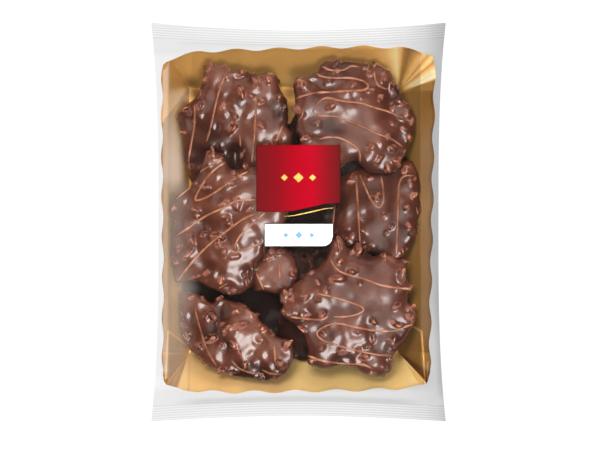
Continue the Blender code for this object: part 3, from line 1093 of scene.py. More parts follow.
def wall_rise(x, y):
    """The height of the tray's walls above its floor: four slopes that meet in mitred corners."""
    slopes = (
        ((x - FLOOR_RIGHT) / (WALL_RIGHT - FLOOR_RIGHT), RIGHT_LIP),
        ((FLOOR_LEFT - x) / (WALL_LEFT + FLOOR_LEFT), LEFT_LIP),
        ((y - FLOOR_TOP) / (WALL_TOP - FLOOR_TOP), NO_LIP),
        ((FLOOR_BOTTOM - y) / (WALL_BOTTOM + FLOOR_BOTTOM), NO_LIP),
    )
    rise = 0
    for slope, lip in slopes:
        rise = np.maximum(rise, looked_up(slope, ((0, 0), WALL_FOOT, lip, (1, 1), PAST_WALL)))
    return rise * RIM_RISE


def near_edge(value, edge):
    """From 0 to 1 across the edge of a wall."""
    return smoothstep(value, edge - TONE_EDGE, edge + TONE_EDGE)


def wall_painted_light(x, y):
    """The painted light and shade on the foil of each wall, before its folds and spots."""
    right, left = near_edge(x, FLOOR_RIGHT), near_edge(-x, -FLOOR_LEFT)
    between = (1 - left) * (1 - right)
    shares = {
        "right": right,
        "right lip": smoothstep(x, *RIGHT_LIP_TONE_FROM),
        "left": left,
        "left lip": smoothstep(-x, *LEFT_LIP_TONE_FROM),
        "bottom": near_edge(-y, -FLOOR_BOTTOM) * between,
        "top": near_edge(y, FLOOR_TOP) * between,
    }
    return sum(WALL_PAINTED_LIGHT[name] * share for name, share in shares.items())


def corner_folds(x, y):
    """The rise of the corners' folds, and the painted light and shade on the foil, at each point of the
    walls.
    """
    rise = np.zeros_like(x)
    painted_light_tone = wall_painted_light(x, y)
    for (px, py), folds in CORNER_FOLDS.items():
        middle_x, middle_y = at(px, py)
        dx, dy = x - middle_x, y - middle_y
        bearings, rises, painted_tones = np.array(sorted(folds)).T
        bearing = np.degrees(np.arctan2(dy, dx))
        bearing = np.where(bearing < bearings[0] - 1, bearing + 360, bearing)
        bearing = np.where(bearing > bearings[-1] + 1, bearing - 360, bearing)
        inside = (bearing >= bearings[0]) & (bearing <= bearings[-1])
        out = np.hypot(dx, dy) / FOLD_REACH
        rise += np.where(inside, np.interp(bearing, bearings, rises), 0) * np.clip(out, 0, 1) * MM
        change = (np.interp(bearing, bearings, painted_tones) - painted_light_tone) * smoothstep(out, *FOLD_TONES_SET_IN)
        painted_light_tone = np.where(inside, painted_light_tone + change, painted_light_tone)
    painted_light_tone += spots(np.stack([x.ravel(), y.ravel()], axis=1), TRAY_PAINTED_SPOTS).reshape(x.shape)
    # The creases' rise, and a painted highlight along them.
    for corners, change, height, half in CREASES:
        line = path(*corners)
        away = np.min([distance_to(x, y, a, b) for a, b in zip(line, line[1:])], axis=0)
        near = np.exp(-((away / (half * PIXEL)) ** 2))
        rise += near * height * MM
        painted_light_tone += near * change
    return rise, painted_light_tone


def distance_to(x, y, start, end):
    """How far each place is from the line between two points."""
    run = end - start
    share = np.clip(((x - start[0]) * run[0] + (y - start[1]) * run[1]) / (run @ run), 0, 1)
    return np.hypot(x - start[0] - share * run[0], y - start[1] - share * run[1])


def tray_height(x, y):
    """The height of the tray's upper face."""
    return CARD_BASE + CARD + wall_rise(x, y) + corner_folds(x, y)[0]


def make_tray(material):
    """The card tray: a net from the middle of its floor out to its rim, and its like below it."""
    rim = rim_line()
    base = floor_edge_below(rim)
    middle = np.array([(FLOOR_LEFT + FLOOR_RIGHT) / 2, 0.0])
    rings = [middle + (base - middle) * (1 - left**2) for left in np.linspace(FLOOR_MIDDLE, 0, FLOOR_RINGS)]
    rings += [base + (rim - base) * share for share in np.linspace(0, 1, WALL_CELLS + 1)[1:]]
    plan = np.array(rings)
    x, y = plan[..., 0], plan[..., 1]
    upper = np.stack([x, y, tray_height(x, y)], axis=2).reshape(-1, 3)
    dents = 0
    for seed, (size, stretch, depth) in enumerate(DENTS, 3):
        dents = dents + bumpy(upper * [1, stretch, 1], size, seed) * depth
    upper[:, 2] += dents * smoothstep(upper[:, 2], *DENTS_FROM)
    rows, columns = plan.shape[:2]
    count = len(upper)
    turn = np.arange(columns)
    after = (turn + 1) % columns
    last = (rows - 1) * columns
    edge = np.stack([last + turn, last + count + turn, last + count + after, last + after], axis=1)
    faces = [*grid_faces(rows, columns, wrap=True, flip=True)]
    faces += [*grid_faces(rows, columns, first=count, wrap=True)]
    faces += [tuple(turn), tuple((turn + count)[::-1]), *edge]
    tray = faced_out(mesh_object("gold_tray", np.concatenate([upper, upper - [0, 0, CARD]]), faces))
    store(tray.data, "painted_light_tone", np.tile(corner_folds(x, y)[1].ravel(), 2))
    tray.data.set_sharp_from_angle(angle=SHARP_FOLD)
    return piece(tray, material)


# ---------------------------------------------------------------- film


def out_from_middle(line, zones):
    """The signed distance of a line of the net, for zones of (cells, width) from the middle out."""
    distance = 0.0
    inner_line = 0
    for cells, width in zones:
        distance = distance + np.clip((np.abs(line) - inner_line) / cells, 0, 1) * width
        inner_line += cells
    return np.sign(line) * distance


def film_plan(column, row):
    """x and y of the crossings of the film's columns and rows, which count from the middle."""
    widest = WIDTH_ENDS / 2 - RIM_HALF_WIDTH
    across = out_from_middle(column, ((SIDE_RIM_CELLS, RIM_HALF_WIDTH), (SIDE_CELLS, widest)))
    share = np.abs(across / (WIDTH_ENDS / 2))
    bow = np.where(row > 0, TOP_END_BOW, BOTTOM_END_BOW) * (1 - share**END_CURVE)
    seal_line = LENGTH_AT_CORNERS / 2 - bow - SEAL_BAND
    y = out_from_middle(
        row,
        (
            (END_RIM_CELLS, RIM_HALF_LENGTH),
            (SEAL_SLOPE_CELLS, seal_line - RIM_HALF_LENGTH),
            (SEAL_CELLS, SEAL_BAND),
        ),
    )
    share = np.clip(np.abs(y) / (LENGTH_AT_CORNERS / 2), 0, 1)
    half_width = (WIDTH_MIDDLE + (WIDTH_ENDS - WIDTH_MIDDLE) * share**SIDE_CURVE) / 2
    x = out_from_middle(
        column, ((SIDE_RIM_CELLS, RIM_HALF_WIDTH), (SIDE_CELLS, half_width - RIM_HALF_WIDTH))
    )
    return x, y


def edge_line(x, y):
    """The height at which the upper and the lower film meet, all round and in the seals."""
    seal = SEAL_HEIGHT - SEAL_DROOP * (2 * x / WIDTH_ENDS) ** 2
    return SIDE_HEIGHT + (seal - SIDE_HEIGHT) * (np.abs(y) / np.abs(y).max(axis=0)) ** 2


def heap_tops(x, y, gingerbreads):
    """The height of the gingerbread under each crossing of the net."""
    tops = np.zeros_like(x)
    columns = np.sort(x[x.shape[0] // 2])
    rows = np.sort(y[:, y.shape[1] // 2])
    for thing in gingerbreads.values():
        points = coordinates(thing.data)
        column = np.clip(np.searchsorted(columns, points[:, 0]), 1, len(columns) - 1)
        row = np.clip(np.searchsorted(rows, points[:, 1]), 1, len(rows) - 1)
        for step_x in (0, 1):
            for step_y in (0, 1):
                np.maximum.at(tops, (row - step_y, column - step_x), points[:, 2])
    return np.where(tops > 0, tops + FILM_GAP, 0)


def draw_tight(height, x, y, held, stay_clear, steps):
    """Settles a stretched film: each free point goes to the mean of its neighbours, weighed by
    their nearness, and stay_clear then lifts the film to clear what it covers."""
    across = 1 / np.diff(x, axis=1)
    along = 1 / np.diff(y, axis=0)
    total = np.zeros_like(height)
    total[:, 1:] += across
    total[:, :-1] += across
    total[1:] += along
    total[:-1] += along
    for _ in range(steps):
        pull = np.zeros_like(height)
        pull[:, 1:] += across * height[:, :-1]
        pull[:, :-1] += across * height[:, 1:]
        pull[1:] += along * height[:-1]
        pull[:-1] += along * height[1:]
        height = np.where(held, height, stay_clear(pull / total))
    return height


def settled(start, x, y, held, stay_clear):
    """Settles every few lines of the film first, and then all of it."""
    few = np.s_[::COARSE_STEP, ::COARSE_STEP]
    every = np.s_[:, :]

    def clear_of(part):
        return lambda film: stay_clear(film, part)

    thin = draw_tight(start[few], x[few], y[few], held[few], clear_of(few), COARSE_ROUNDS)
    rows, columns = np.arange(start.shape[0]), np.arange(start.shape[1])
    wide = np.array([np.interp(columns, columns[::COARSE_STEP], line) for line in thin])
    full = np.array([np.interp(rows, rows[::COARSE_STEP], line) for line in wide.T]).T
    full = np.where(held, start, stay_clear(full, every))
    return draw_tight(full, x, y, held, clear_of(every), FINE_ROUNDS)


# The film's greys past the tray, by px, partly the film's own dimming and partly painted shade,
# which darkens them towards the right: along the top and the bottom from left to right, and down
# the right side, which gets darker towards its edge. The left side is even.
TOP_GREYS = (
    (150, 0.89), (200, 0.9), (300, 0.922), (380, 0.91), (405, 0.88), (425, 0.82), (438, 0.74), (446, 0.69),
)
BOTTOM_GREYS = (
    (150, 0.9), (200, 0.905), (300, 0.905), (360, 0.895), (400, 0.875), (425, 0.845), (437, 0.81),
    (446, 0.77),
)
RIGHT_GREYS = ((40, 0.745), (90, 0.72), (250, 0.7), (310, 0.765), (340, 0.805), (380, 0.8), (400, 0.83))
RIGHT_EDGE_SHADE = ((260, 0), (300, 0.09), (385, 0.1), (400, 0.02))
RIGHT_EDGE_PX = 8
LEFT_GREY = 0.925
END_GREYS_SET_IN = RIM_HALF_LENGTH - 4 * MM, RIM_HALF_LENGTH

# How much painted shade darkens a rib's crest, what the film lets through over the tray, and between
# what distances from the rim its greys take over.
RIB_SHADE = 0.042
THROUGH_FILM = 0.985
PAST_RIM = -2.2 * MM, -0.8 * MM

# The soft shadow beside each seal: its grey at the bottom, the share of it at the top, its place
# and half width in from the end, and where it fades towards the sides.
SEAL_SHADOW = 0.08
TOP_SHADOW = 0.4
SEAL_SHADOW_IN = 10.2 * MM
SEAL_SHADOW_HALF = 1.8 * MM
SEAL_SHADOW_FADES = 80 * MM, 55 * MM

# The film's haze, a painted reflection of the lights: the least of it, how far past the rim it ends,
# and that on the tray's lips, with the px between which it sets in.
LEAST_HAZE = 0.004
HAZE_PAST_RIM = 0.9 * MM
LEFT_LIP_HAZE = 0.22
LEFT_LIP_FROM = 171, 167
RIGHT_LIP_HAZE = ((110, 0), (150, 0.035), (330, 0.035), (350, 0))
RIGHT_LIP_FROM = 418, 423

# The painted haze along the left wall, a painted reflection, the px where it ends and how soft that
# edge is, by px down the pack.
HAZE_DOWN_LEFT = (
    (86, 0), (96, 0.09), (110, 0.11), (120, 0.14), (140, 0.22), (160, 0.28), (178, 0.28), (195, 0.11),
    (265, 0.11), (288, 0.17), (305, 0.13), (320, 0.13), (350, 0.12), (385, 0.1),
)
HAZE_EDGE_DOWN_LEFT = (
    (92, 189), (98, 190), (104, 182), (112, 176), (120, 176), (140, 180), (160, 181.5), (175, 182.5),
    (190, 184), (200, 186), (265, 187), (288, 193), (310, 187),
)
HAZE_SOFTNESS = ((180, 5), (200, 11))


def linear(grey):
    """The light behind a display grey."""
    return ((np.asarray(grey) + 0.055) / 1.055) ** 2.4


def store_film_looks(mesh, x, y, ribs, from_end):
    """How much light one film lets through at each point, with painted shade in its greys, and how much
    painted haze, a painted reflection of the lights, lies over it there.
    """
    px = x / PIXEL + MIDDLE_PX[0]
    py = MIDDLE_PX[1] - y / PIXEL
    end = np.where(y > 0, looked_up(px, TOP_GREYS), looked_up(px, BOTTOM_GREYS))
    side = np.where(x > 0, looked_up(py, RIGHT_GREYS), LEFT_GREY)
    grey = end + (side - end) * (1 - smoothstep(np.abs(y), *END_GREYS_SET_IN))
    from_side = (x.max(axis=1, keepdims=True) - x) / PIXEL
    grey = grey - looked_up(py, RIGHT_EDGE_SHADE) * smoothstep(from_side, RIGHT_EDGE_PX, 0)
    shadow = np.exp(-(((from_end - SEAL_SHADOW_IN) / SEAL_SHADOW_HALF) ** 2)) * SEAL_SHADOW
    shadow = shadow * np.where(y < 0, 1, TOP_SHADOW) * smoothstep(np.abs(x), *SEAL_SHADOW_FADES)
    through = np.sqrt(linear(grey - shadow - RIB_SHADE * ribs))

    rim = rim_line()
    bearings = np.arctan2(rim[:, 1], rim[:, 0])
    order = np.argsort(bearings)
    reach = np.interp(np.arctan2(y, x), bearings[order], np.hypot(*rim.T)[order], period=2 * np.pi)
    past_rim = np.hypot(x, y) - reach
    outside = smoothstep(past_rim, *PAST_RIM)
    left_lip = smoothstep(px, *LEFT_LIP_FROM) * LEFT_LIP_HAZE
    right_lip = smoothstep(px, *RIGHT_LIP_FROM) * looked_up(py, RIGHT_LIP_HAZE)
    from_edge = (px - looked_up(py, HAZE_EDGE_DOWN_LEFT)) / looked_up(py, HAZE_SOFTNESS)
    wall = smoothstep(from_edge, 1, -1) * looked_up(py, HAZE_DOWN_LEFT)
    # The painted haze stands in for the film's reflections of the lights.
    haze = np.maximum(left_lip + right_lip, wall) + LEAST_HAZE
    haze = haze * (1 - smoothstep(past_rim, 0, HAZE_PAST_RIM))
    store(mesh, "shade", np.tile((THROUGH_FILM + (through - THROUGH_FILM) * outside).ravel(), 2))
    store(mesh, "painted_reflection_share", np.tile(haze.ravel(), 2))


def make_film(gingerbreads, material):
    """Both films, the upper settled over the heap and the lower under the tray, as one sheet."""
    columns = SIDE_RIM_CELLS + SIDE_CELLS
    rows = END_RIM_CELLS + SEAL_SLOPE_CELLS + SEAL_CELLS
    row, column = np.mgrid[-rows : rows + 1, -columns : columns + 1]
    x, y = film_plan(column, row)
    edge = edge_line(x, y)
    in_seal = np.abs(row) >= END_RIM_CELLS + SEAL_SLOPE_CELLS
    on_edge = (np.abs(column) == columns) | (np.abs(row) == rows)
    held = in_seal | on_edge

    on_side = (np.abs(column) == SIDE_RIM_CELLS) & (np.abs(y) <= RIM_HALF_LENGTH - CORNER_CUT)
    on_end = (np.abs(row) == END_RIM_CELLS) & (np.abs(x) <= RIM_HALF_WIDTH - CORNER_CUT)
    contents = np.maximum(heap_tops(x, y, gingerbreads), np.where(on_side | on_end, RIM_HEIGHT, 0))
    upper = settled(
        edge + EDGE_THICKNESS / 2, x, y, held, lambda film, part: np.maximum(film, contents[part])
    )
    on_floor = (np.abs(x) <= FLAT_HALF_WIDTH) & (np.abs(y) <= FLAT_HALF_LENGTH)
    within = (np.abs(x) <= RIM_HALF_WIDTH) & (np.abs(y) <= RIM_HALF_LENGTH)
    ceiling = np.where(within, wall_rise(x, y) + CARD_BASE - UNDER_GAP, NO_CEILING)
    seam = smoothstep(np.abs(x), SEAM_HALF_WIDTH, SEAM_HALF_WIDTH + SEAM_EDGE) * SEAM_RELIEF
    start = np.where(on_floor, seam, edge - EDGE_THICKNESS / 2)
    lower = settled(start, x, y, held | on_floor, lambda film, part: np.clip(film, 0, ceiling[part]))

    from_edge = np.abs(y).max(axis=0) - np.abs(y)
    ribs = np.cos(2 * np.pi * from_edge / RIB_PITCH) * in_seal
    film = sheet("clear_film", x, y, upper + ribs * RIB_HEIGHT, lower + ribs * RIB_HEIGHT)
    store_film_looks(film.data, x, y, ribs, from_edge)
    film.data.set_sharp_from_angle(angle=SHARP_RIB)
    return piece(film, material)


# ---------------------------------------------------------------- printing

# The printing in px: the red field's sides, top and waved lower edge, the white field's sides, top,
# bottom and rounded corner, the gold line below the red field, and the lozenges (px, py, reach).
RED_SIDES = 256.8, 340.2
RED_TOP = 145.7
RED_WAVE = ((256.8, 211.5), (278.6, 212.3), (294, 211), (309, 207.7), (324.5, 204.2), (340.2, 203))
WHITE_SIDES = 265.2, 332.5
WHITE_ENDS = 224.1, 245.9
WHITE_CORNER = 10.0
GOLD_LINE = ((284, 216.6), (294, 215.7), (309, 212.4), (324.5, 208.9), (334, 207.9))
GOLD_LOZENGES = (284.5, 178, 3.4), (298.5, 178, 5.0), (312.5, 178, 3.4)
BLUE_LOZENGES = (286, 235, 2.6), (298.8, 235, 3.6), (311.6, 235, 2.6)

# The half width of the gold line at its ends and in its middle, and of a lozenge at its tips.
GOLD_LINE_ENDS = 0.12
GOLD_LINE_MIDDLE = 0.67
LOZENGE_TIP = 0.05

# How far the printing lies above the film, and the lozenges above that, its thickness and its nets.
PRINT_LIFT = 0.12 * MM
LOZENGE_LIFT = 0.1 * MM
PRINT_THICKNESS = 0.08 * MM
FIELD_CELLS = 56, 44
LINE_CELLS = 40, 2
LOZENGE_CELLS = 16, 8


def printed(name, sides, bottom, top, film_tree, ink, lift=0.0, cells=FIELD_CELLS):
    """A field of printing on the film, between two lines that run from left to right, in px."""
    px = np.linspace(*sides, cells[0] + 1)
    share = np.linspace(0, 1, cells[1] + 1)[:, None]
    py = bottom(px) + (top(px) - bottom(px)) * share
    x, y = at(np.broadcast_to(px, py.shape), py)
    low = np.reshape([dropped(film_tree, *place).z for place in zip(x.flat, y.flat)], x.shape)
    low = low + PRINT_LIFT
    slot, material = ink
    return piece(sheet(name, x, y, low + PRINT_THICKNESS + lift, low + lift), material)


def line_of_printing(name, middle, half, film_tree, ink, lift=0.0, cells=LINE_CELLS):
    """A line or spot of printing round a middle line, with its half width for each place on it."""
    left, right = middle[0][0], middle[-1][0]

    def edge(side):
        return lambda px: looked_up(px, middle) + side * half((px - left) / (right - left))

    printed(name, (left, right), edge(1), edge(-1), film_tree, ink, lift, cells)


def make_printing(film, inks):
    """The two fields, the line and the lozenges, which lie on the film."""
    tree = tree_of(film)
    printed(
        "print_red_field", RED_SIDES,
        lambda px: looked_up(px, RED_WAVE), lambda px: np.full_like(px, RED_TOP),
        tree, inks["red"],
    )
    line_of_printing(
        "print_gold_line", GOLD_LINE,
        lambda share: GOLD_LINE_ENDS + (GOLD_LINE_MIDDLE - GOLD_LINE_ENDS) * np.sin(np.pi * share),
        tree, inks["gold"],
    )
    for colour, lozenges in (("gold", GOLD_LOZENGES), ("blue", BLUE_LOZENGES)):
        for number, (px, py, reach) in enumerate(lozenges, 1):
            line_of_printing(
                f"print_{colour}_lozenge_{number}", ((px - reach, py), (px + reach, py)),
                lambda share, reach=reach: LOZENGE_TIP + reach * (1 - np.abs(2 * share - 1)),
                tree, inks[colour], LOZENGE_LIFT, LOZENGE_CELLS,
            )

    def white_bottom(px):
        over = np.clip(px - (WHITE_SIDES[1] - WHITE_CORNER), 0, WHITE_CORNER)
        return WHITE_ENDS[1] - (WHITE_CORNER - np.sqrt(WHITE_CORNER**2 - over**2))

    printed(
        "print_white_field", WHITE_SIDES, white_bottom, lambda px: np.full_like(px, WHITE_ENDS[0]),
        tree, inks["white"],
    )


# ---------------------------------------------------------------- materials

# What most of the noise lies between.
NOISE_RANGE = 0.3, 0.7


class Nodes:
    """A short way to write a material's nodes."""

    def __init__(self, name):
        self.material = bpy.data.materials.new(name)
        self.material.use_nodes = True
        self.tree = self.material.node_tree
        self.tree.nodes.clear()
        self.output = self.add("ShaderNodeOutputMaterial")

    def add(self, kind, inputs=(), **settings):
        node = self.tree.nodes.new(kind)
        for key, value in settings.items():
            setattr(node, key, value)
        for key, value in dict(inputs).items():
            self.set(node, key, value)
        return node

    def first(self, kind, inputs=(), **settings):
        """A new node's first output."""
        return self.add(kind, inputs, **settings).outputs[0]

    def set(self, node, key, value):
        if isinstance(value, bpy.types.NodeSocket):
            self.tree.links.new(value, node.inputs[key])
        else:
            node.inputs[key].default_value = value

    def math(self, operation, *values, clamp=False):
        node = self.add("ShaderNodeMath", operation=operation, use_clamp=clamp)
        for i, value in enumerate(values):
            self.set(node, i, value)
        return node.outputs[0]

    def attribute(self, name):
        return self.add("ShaderNodeAttribute", attribute_name=name).outputs["Fac"]

    def place(self):
        return self.add("ShaderNodeTexCoord").outputs["Object"]

    def noise(self, scale, detail=3.0, roughness=0.5, vector=None):
        return self.add(
            "ShaderNodeTexNoise",
            {"Vector": vector or self.place(), "Scale": scale, "Detail": detail, "Roughness": roughness},
        ).outputs["Fac"]

    def uneven(self, scale, low, high, detail=3.0, vector=None):
        """Noise that runs from low to high."""
        return self.range(self.noise(scale, detail, vector=vector), *NOISE_RANGE, low, high)

    def ramp(self, value, *stops):
        node = self.add("ShaderNodeValToRGB", {"Fac": value})
        elements = node.color_ramp.elements
        while len(elements) < len(stops):
            elements.new(0.5)
        for element, (position, colour) in zip(elements, stops):
            element.position = position
            element.color = (*colour, 1.0)
        return node.outputs["Color"]

    def mix(self, factor, below, above):
        """A colour that goes from one, given by a socket, to another, given by its parts."""
        inputs = {"Factor": factor, 6: below, 7: (*above, 1.0)}
        return self.add("ShaderNodeMix", inputs, data_type="RGBA").outputs[2]

    def range(self, value, low, high, to_low=0.0, to_high=1.0):
        return self.first(
            "ShaderNodeMapRange",
            {"Value": value, "From Min": low, "From Max": high, "To Min": to_low, "To Max": to_high},
        )

    def bump(self, height, distance, strength=1.0):
        return self.first("ShaderNodeBump", {"Height": height, "Distance": distance, "Strength": strength})

    def principled(self, inputs):
        return self.finish(self.add("ShaderNodeBsdfPrincipled", inputs))

    def finish(self, shader):
        self.tree.links.new(shader.outputs[0], self.output.inputs["Surface"])
        return self.material


def chocolate_material(name, light):
    """A glossy coat of milk chocolate. The nuts show through it, and their ridges are nearly bare.
    Its colour holds painted shade, darker in hollows, creases, low on its sides and at dark spots, and
    painted light, paler on its heights and at light spots. A light below 1 makes a darker copy of it,
    painted shade for a hidden gingerbread.
    """
    nodes = Nodes(name)

    # Below 1, light makes a darker copy of the coat and of its shine: painted shade.
    def lit(*colour):
        return tuple(part * light for part in colour)

    # The coat's painted light and shade: darker in hollows, low on its sides and at dark spots, paler on
    # its heights and at light spots, with some random unevenness.
    depth = nodes.math("ADD", nodes.attribute("painted_light_and_shade"), nodes.uneven(110.0, -0.8, 0.8))
    brown = nodes.ramp(
        nodes.range(depth, -3.2, 2.4),
        (0.0, lit(0.020, 0.004, 0.002)), (0.45, lit(0.052, 0.011, 0.005)), (0.7, lit(0.086, 0.023, 0.012)),
        (1.0, lit(0.118, 0.037, 0.021)),
    )
    # Painted shade in the coat's creases.
    painted_crease_shade = nodes.range(nodes.attribute("ridge"), -0.015, -0.09)
    brown = nodes.mix(nodes.math("MULTIPLY", painted_crease_shade, 0.85), brown, lit(0.016, 0.003, 0.002))
    patches = nodes.range(nodes.noise(420.0, 2.0), 0.42, 0.56)
    nut = nodes.math("MULTIPLY", nodes.attribute("nut"), patches, clamp=True)
    colour = nodes.mix(nodes.math("MULTIPLY", nut, 0.85), brown, lit(0.29, 0.105, 0.072))
    ridge = nodes.range(nodes.attribute("ridge"), 0.06, 0.16)
    bared = nodes.math("MULTIPLY", ridge, nodes.range(nodes.noise(190.0), 0.47, 0.54), clamp=True)
    grain = nodes.math("MULTIPLY_ADD", nodes.noise(170.0, 2.0), 2.2, nodes.noise(420.0, 4.0, 0.6))
    return nodes.principled(
        {
            "Base Color": nodes.mix(bared, colour, lit(0.95, 0.33, 0.16)),
            "Roughness": nodes.uneven(140.0, 0.30, 0.42, 2.0),
            "Specular IOR Level": 0.36 * light,
            "Specular Tint": (1.0, 0.80, 0.70, 1.0),
            "Coat Weight": 0.62 * light,
            "Coat Roughness": 0.2,
            "Normal": nodes.bump(grain, 0.16 * MM, 0.6),
        }
    )


def drizzle_material():
    nodes = Nodes("drizzle")
    # The drizzle's colour follows the painted light and shade of its gingerbread, with some random
    # unevenness.
    colour = nodes.ramp(
        nodes.math("MULTIPLY", nodes.attribute("light"), nodes.uneven(140.0, 0.45, 1.5)),
        (0.25, (0.11, 0.033, 0.012)), (0.6, (0.25, 0.088, 0.042)), (1.0, (0.42, 0.19, 0.11)),
    )
    return nodes.principled({"Base Color": colour, "Roughness": nodes.uneven(500.0, 0.25, 0.4)})


def gold_material():
    """Gold foil on card, whose colour follows the painted light and shade stored on the tray, with some
    random unevenness.
    """
    nodes = Nodes("gold_card")
    painted_light_tone = nodes.math("ADD", nodes.attribute("painted_light_tone"), nodes.uneven(25.0, -0.12, 0.12))
    colour = nodes.ramp(
        nodes.range(painted_light_tone, -1.6, 1.4),
        (0.0, (0.11, 0.036, 0.005)), (0.17, (0.21, 0.095, 0.022)), (0.36, (0.40, 0.21, 0.06)),
        (0.53, (0.66, 0.34, 0.09)), (0.68, (0.76, 0.46, 0.18)), (0.85, (0.84, 0.57, 0.21)),
        (1.0, (0.82, 0.77, 0.50)),
    )
    stretched = nodes.first("ShaderNodeMapping", {"Vector": nodes.place(), "Scale": (1.0, 0.08, 1.0)})
    streaks = nodes.noise(700.0, 2.0, vector=stretched)
    return nodes.principled(
        {
            "Base Color": colour,
            "Metallic": 0.5,
            "Specular Tint": (1.0, 0.72, 0.36, 1.0),
            "Roughness": nodes.uneven(60.0, 0.30, 0.42),
            "Normal": nodes.bump(streaks, 0.05 * MM, 0.5),
        }
    )


def film_material():
    """Clear film that dims what is behind it, with a faint gloss and, here and there, a whitish haze
    that is a painted reflection of the lights.
    """
    nodes = Nodes("clear_film")
    shade = nodes.attribute("shade")
    tint = nodes.first("ShaderNodeCombineColor", {0: shade, 1: shade, 2: shade})
    clear = nodes.first("ShaderNodeBsdfTransparent", {"Color": tint})
    # The painted reflection: a pale diffuse layer where the film would mirror the lights.
    painted_reflection_shader = nodes.first("ShaderNodeBsdfDiffuse", {"Color": (0.84, 0.72, 0.63, 1.0)})
    gloss = nodes.first("ShaderNodeBsdfGlossy", {"Color": (0.9, 0.9, 0.92, 1.0), "Roughness": 0.16})
    veiled = nodes.first("ShaderNodeMixShader", {0: nodes.attribute("painted_reflection_share"), 1: clear, 2: painted_reflection_shader})
    shine = nodes.math("MULTIPLY", nodes.first("ShaderNodeFresnel", {"IOR": 1.35}), 0.1)
    return nodes.finish(nodes.add("ShaderNodeMixShader", {0: shine, 1: veiled, 2: gloss}))


def red_material():
    """Red ink that is brightest right of the field's middle."""
    nodes = Nodes("print_red")
    place = nodes.add("ShaderNodeSeparateXYZ", {0: nodes.place()}).outputs["X"]
    left, right = at(np.array(RED_SIDES), 0)[0]
    colour = nodes.ramp(
        nodes.range(place, left, right),
        (0.0, (0.10, 0.006, 0.007)), (0.25, (0.17, 0.003, 0.007)), (0.5, (0.30, 0.001, 0.008)),
        (0.66, (0.33, 0.001, 0.010)), (0.85, (0.18, 0.004, 0.008)), (1.0, (0.09, 0.006, 0.006)),
    )
    roughness = nodes.uneven(400.0, 0.42, 0.58, 2.0)
    return nodes.principled({"Base Color": colour, "Roughness": roughness, "Specular IOR Level": 0.03})


def white_material():
    nodes = Nodes("print_white")
    colour = nodes.ramp(nodes.noise(200.0), (0.3, (0.88, 0.88, 0.88)), (0.7, (0.92, 0.92, 0.92)))
    return nodes.principled({"Base Color": colour, "Roughness": 0.4})


def ink_material(name, colour, metallic):
    nodes = Nodes(name)
    light = tuple(min(1.0, part * 1.2) for part in colour)
    shade = nodes.ramp(nodes.noise(500.0, 2.0), (0.35, colour), (0.65, light))
    roughness = nodes.uneven(300.0, 0.3, 0.42)
    return nodes.principled({"Base Color": shade, "Metallic": metallic, "Roughness": roughness})


def floor_material():
    """A white that glows, as the photograph's ground does."""
    nodes = Nodes("floor")
    white = nodes.first("ShaderNodeBsdfDiffuse", {"Color": (0.06, 0.06, 0.06, 1.0)})
    glow = nodes.first("ShaderNodeEmission", {"Color": (1.0, 1.0, 1.0, 1.0), "Strength": 0.97})
    return nodes.finish(nodes.add("ShaderNodeAddShader", {0: white, 1: glow}))


# ---------------------------------------------------------------- studio

# The lights: the way to each, its width and depth, its power and colour, and what it doesn't light.
WHITE = 1.0, 1.0, 1.0
WARM = 1.0, 0.9, 0.82
LIGHTS = {
    "main": ((-0.2, 0.4, 1.0), (0.6, 0.45), 16.0, WHITE, "glossy"),
    "front": (FRONT_LIGHT, (0.5, 0.4), 11.8, (0.95, 0.97, 0.99), None),
    "over": ((0.05, 0.1, 1.0), (0.7, 0.7), 2.7, (1.0, 0.90, 0.86), "diffuse"),
    "top": ((0.1, 1.0, 0.75), (1.2, 0.6), 2.6, WARM, None),
    "right": ((1.0, 0.3, 0.45), (0.8, 0.6), 3.2, WHITE, "glossy"),
    "left": ((-1.0, 0.2, 0.6), (0.9, 0.6), 1.5, WARM, None),
}
WORLD_COLOUR = 1.0, 0.88, 0.80, 1.0
WORLD_STRENGTH = 0.08
FLOOR_HALF = 3


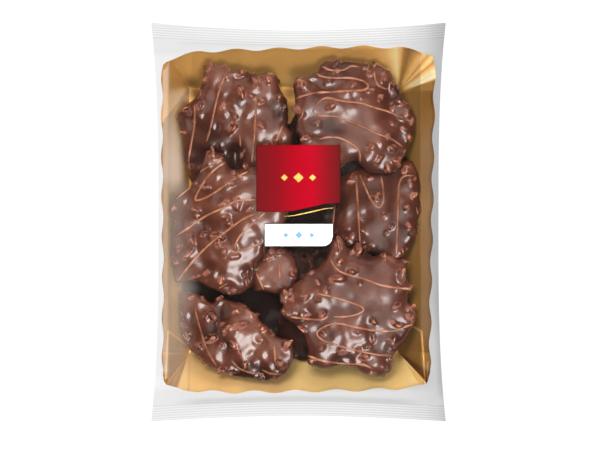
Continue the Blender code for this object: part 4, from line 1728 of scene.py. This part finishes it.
def softbox(name, direction, size, power, colour, unlit):
    """A square soft light that faces the pack from the given direction."""
    light = bpy.data.lights.new(name, "AREA")
    light.shape = "RECTANGLE"
    light.size, light.size_y = size
    light.energy = power
    light.color = colour
    lamp = bpy.data.objects.new(name, light)
    towards = Vector(direction).normalized()
    lamp.location = towards * LIGHT_DISTANCE
    lamp.rotation_euler = towards.to_track_quat("Z", "Y").to_euler()
    lamp.visible_camera = False
    lamp.visible_glossy = unlit != "glossy"
    lamp.visible_diffuse = unlit != "diffuse"
    bpy.context.scene.collection.objects.link(lamp)


def make_studio():
    scene = bpy.context.scene
    corners = [(x * FLOOR_HALF, y * FLOOR_HALF, 0) for x, y in ((-1, -1), (1, -1), (1, 1), (-1, 1))]
    floor = mesh_object("floor", corners, [(0, 1, 2, 3)], smooth=False)
    floor.data.materials.append(floor_material())
    scene.world = bpy.data.worlds.new("studio")
    scene.world.use_nodes = True
    background = scene.world.node_tree.nodes["Background"]
    background.inputs["Color"].default_value = WORLD_COLOUR
    background.inputs["Strength"].default_value = WORLD_STRENGTH
    for name, light in LIGHTS.items():
        softbox(name, *light)
    scene.view_settings.view_transform = "Standard"


def make_camera():
    data = bpy.data.cameras.new("camera")
    data.sensor_width = SENSOR_WIDTH
    data.lens = SENSOR_WIDTH * CAMERA_DISTANCE / (FRAME_PX[0] * PIXEL)
    camera = bpy.data.objects.new("camera", data)
    x, y = at(FRAME_PX[0] / 2, FRAME_PX[1] / 2)
    camera.location = x, y, CAMERA_DISTANCE + SEAL_HEIGHT
    bpy.context.scene.collection.objects.link(camera)
    bpy.context.scene.camera = camera


def main():
    make_camera()
    make_studio()
    specs = {
        name: {**PLAIN, **own, "seed": seed} for seed, (name, own) in enumerate(GINGERBREADS.items(), 1)
    }
    # One coat for each lightness; the darker ones are painted shade on the hidden gingerbreads.
    coats = {
        light: chocolate_material(f"chocolate_{number}", light)
        for number, light in enumerate(sorted({spec["light"] for spec in specs.values()}))
    }
    gingerbreads = {
        name: make_gingerbread(name, spec, coats[spec["light"]]) for name, spec in specs.items()
    }
    make_drizzle(gingerbreads, drizzle_material())
    make_tray(gold_material())
    film = make_film(gingerbreads, film_material())
    inks = {
        "red": ("print_red", red_material()),
        "white": ("print_white", white_material()),
        "gold": ("print_gold", ink_material("print_gold", (0.62, 0.36, 0.08), 0.5)),
        "blue": ("print_blue", ink_material("print_blue", (0.10, 0.26, 0.42), 0.0)),
    }
    make_printing(film, inks)


main()
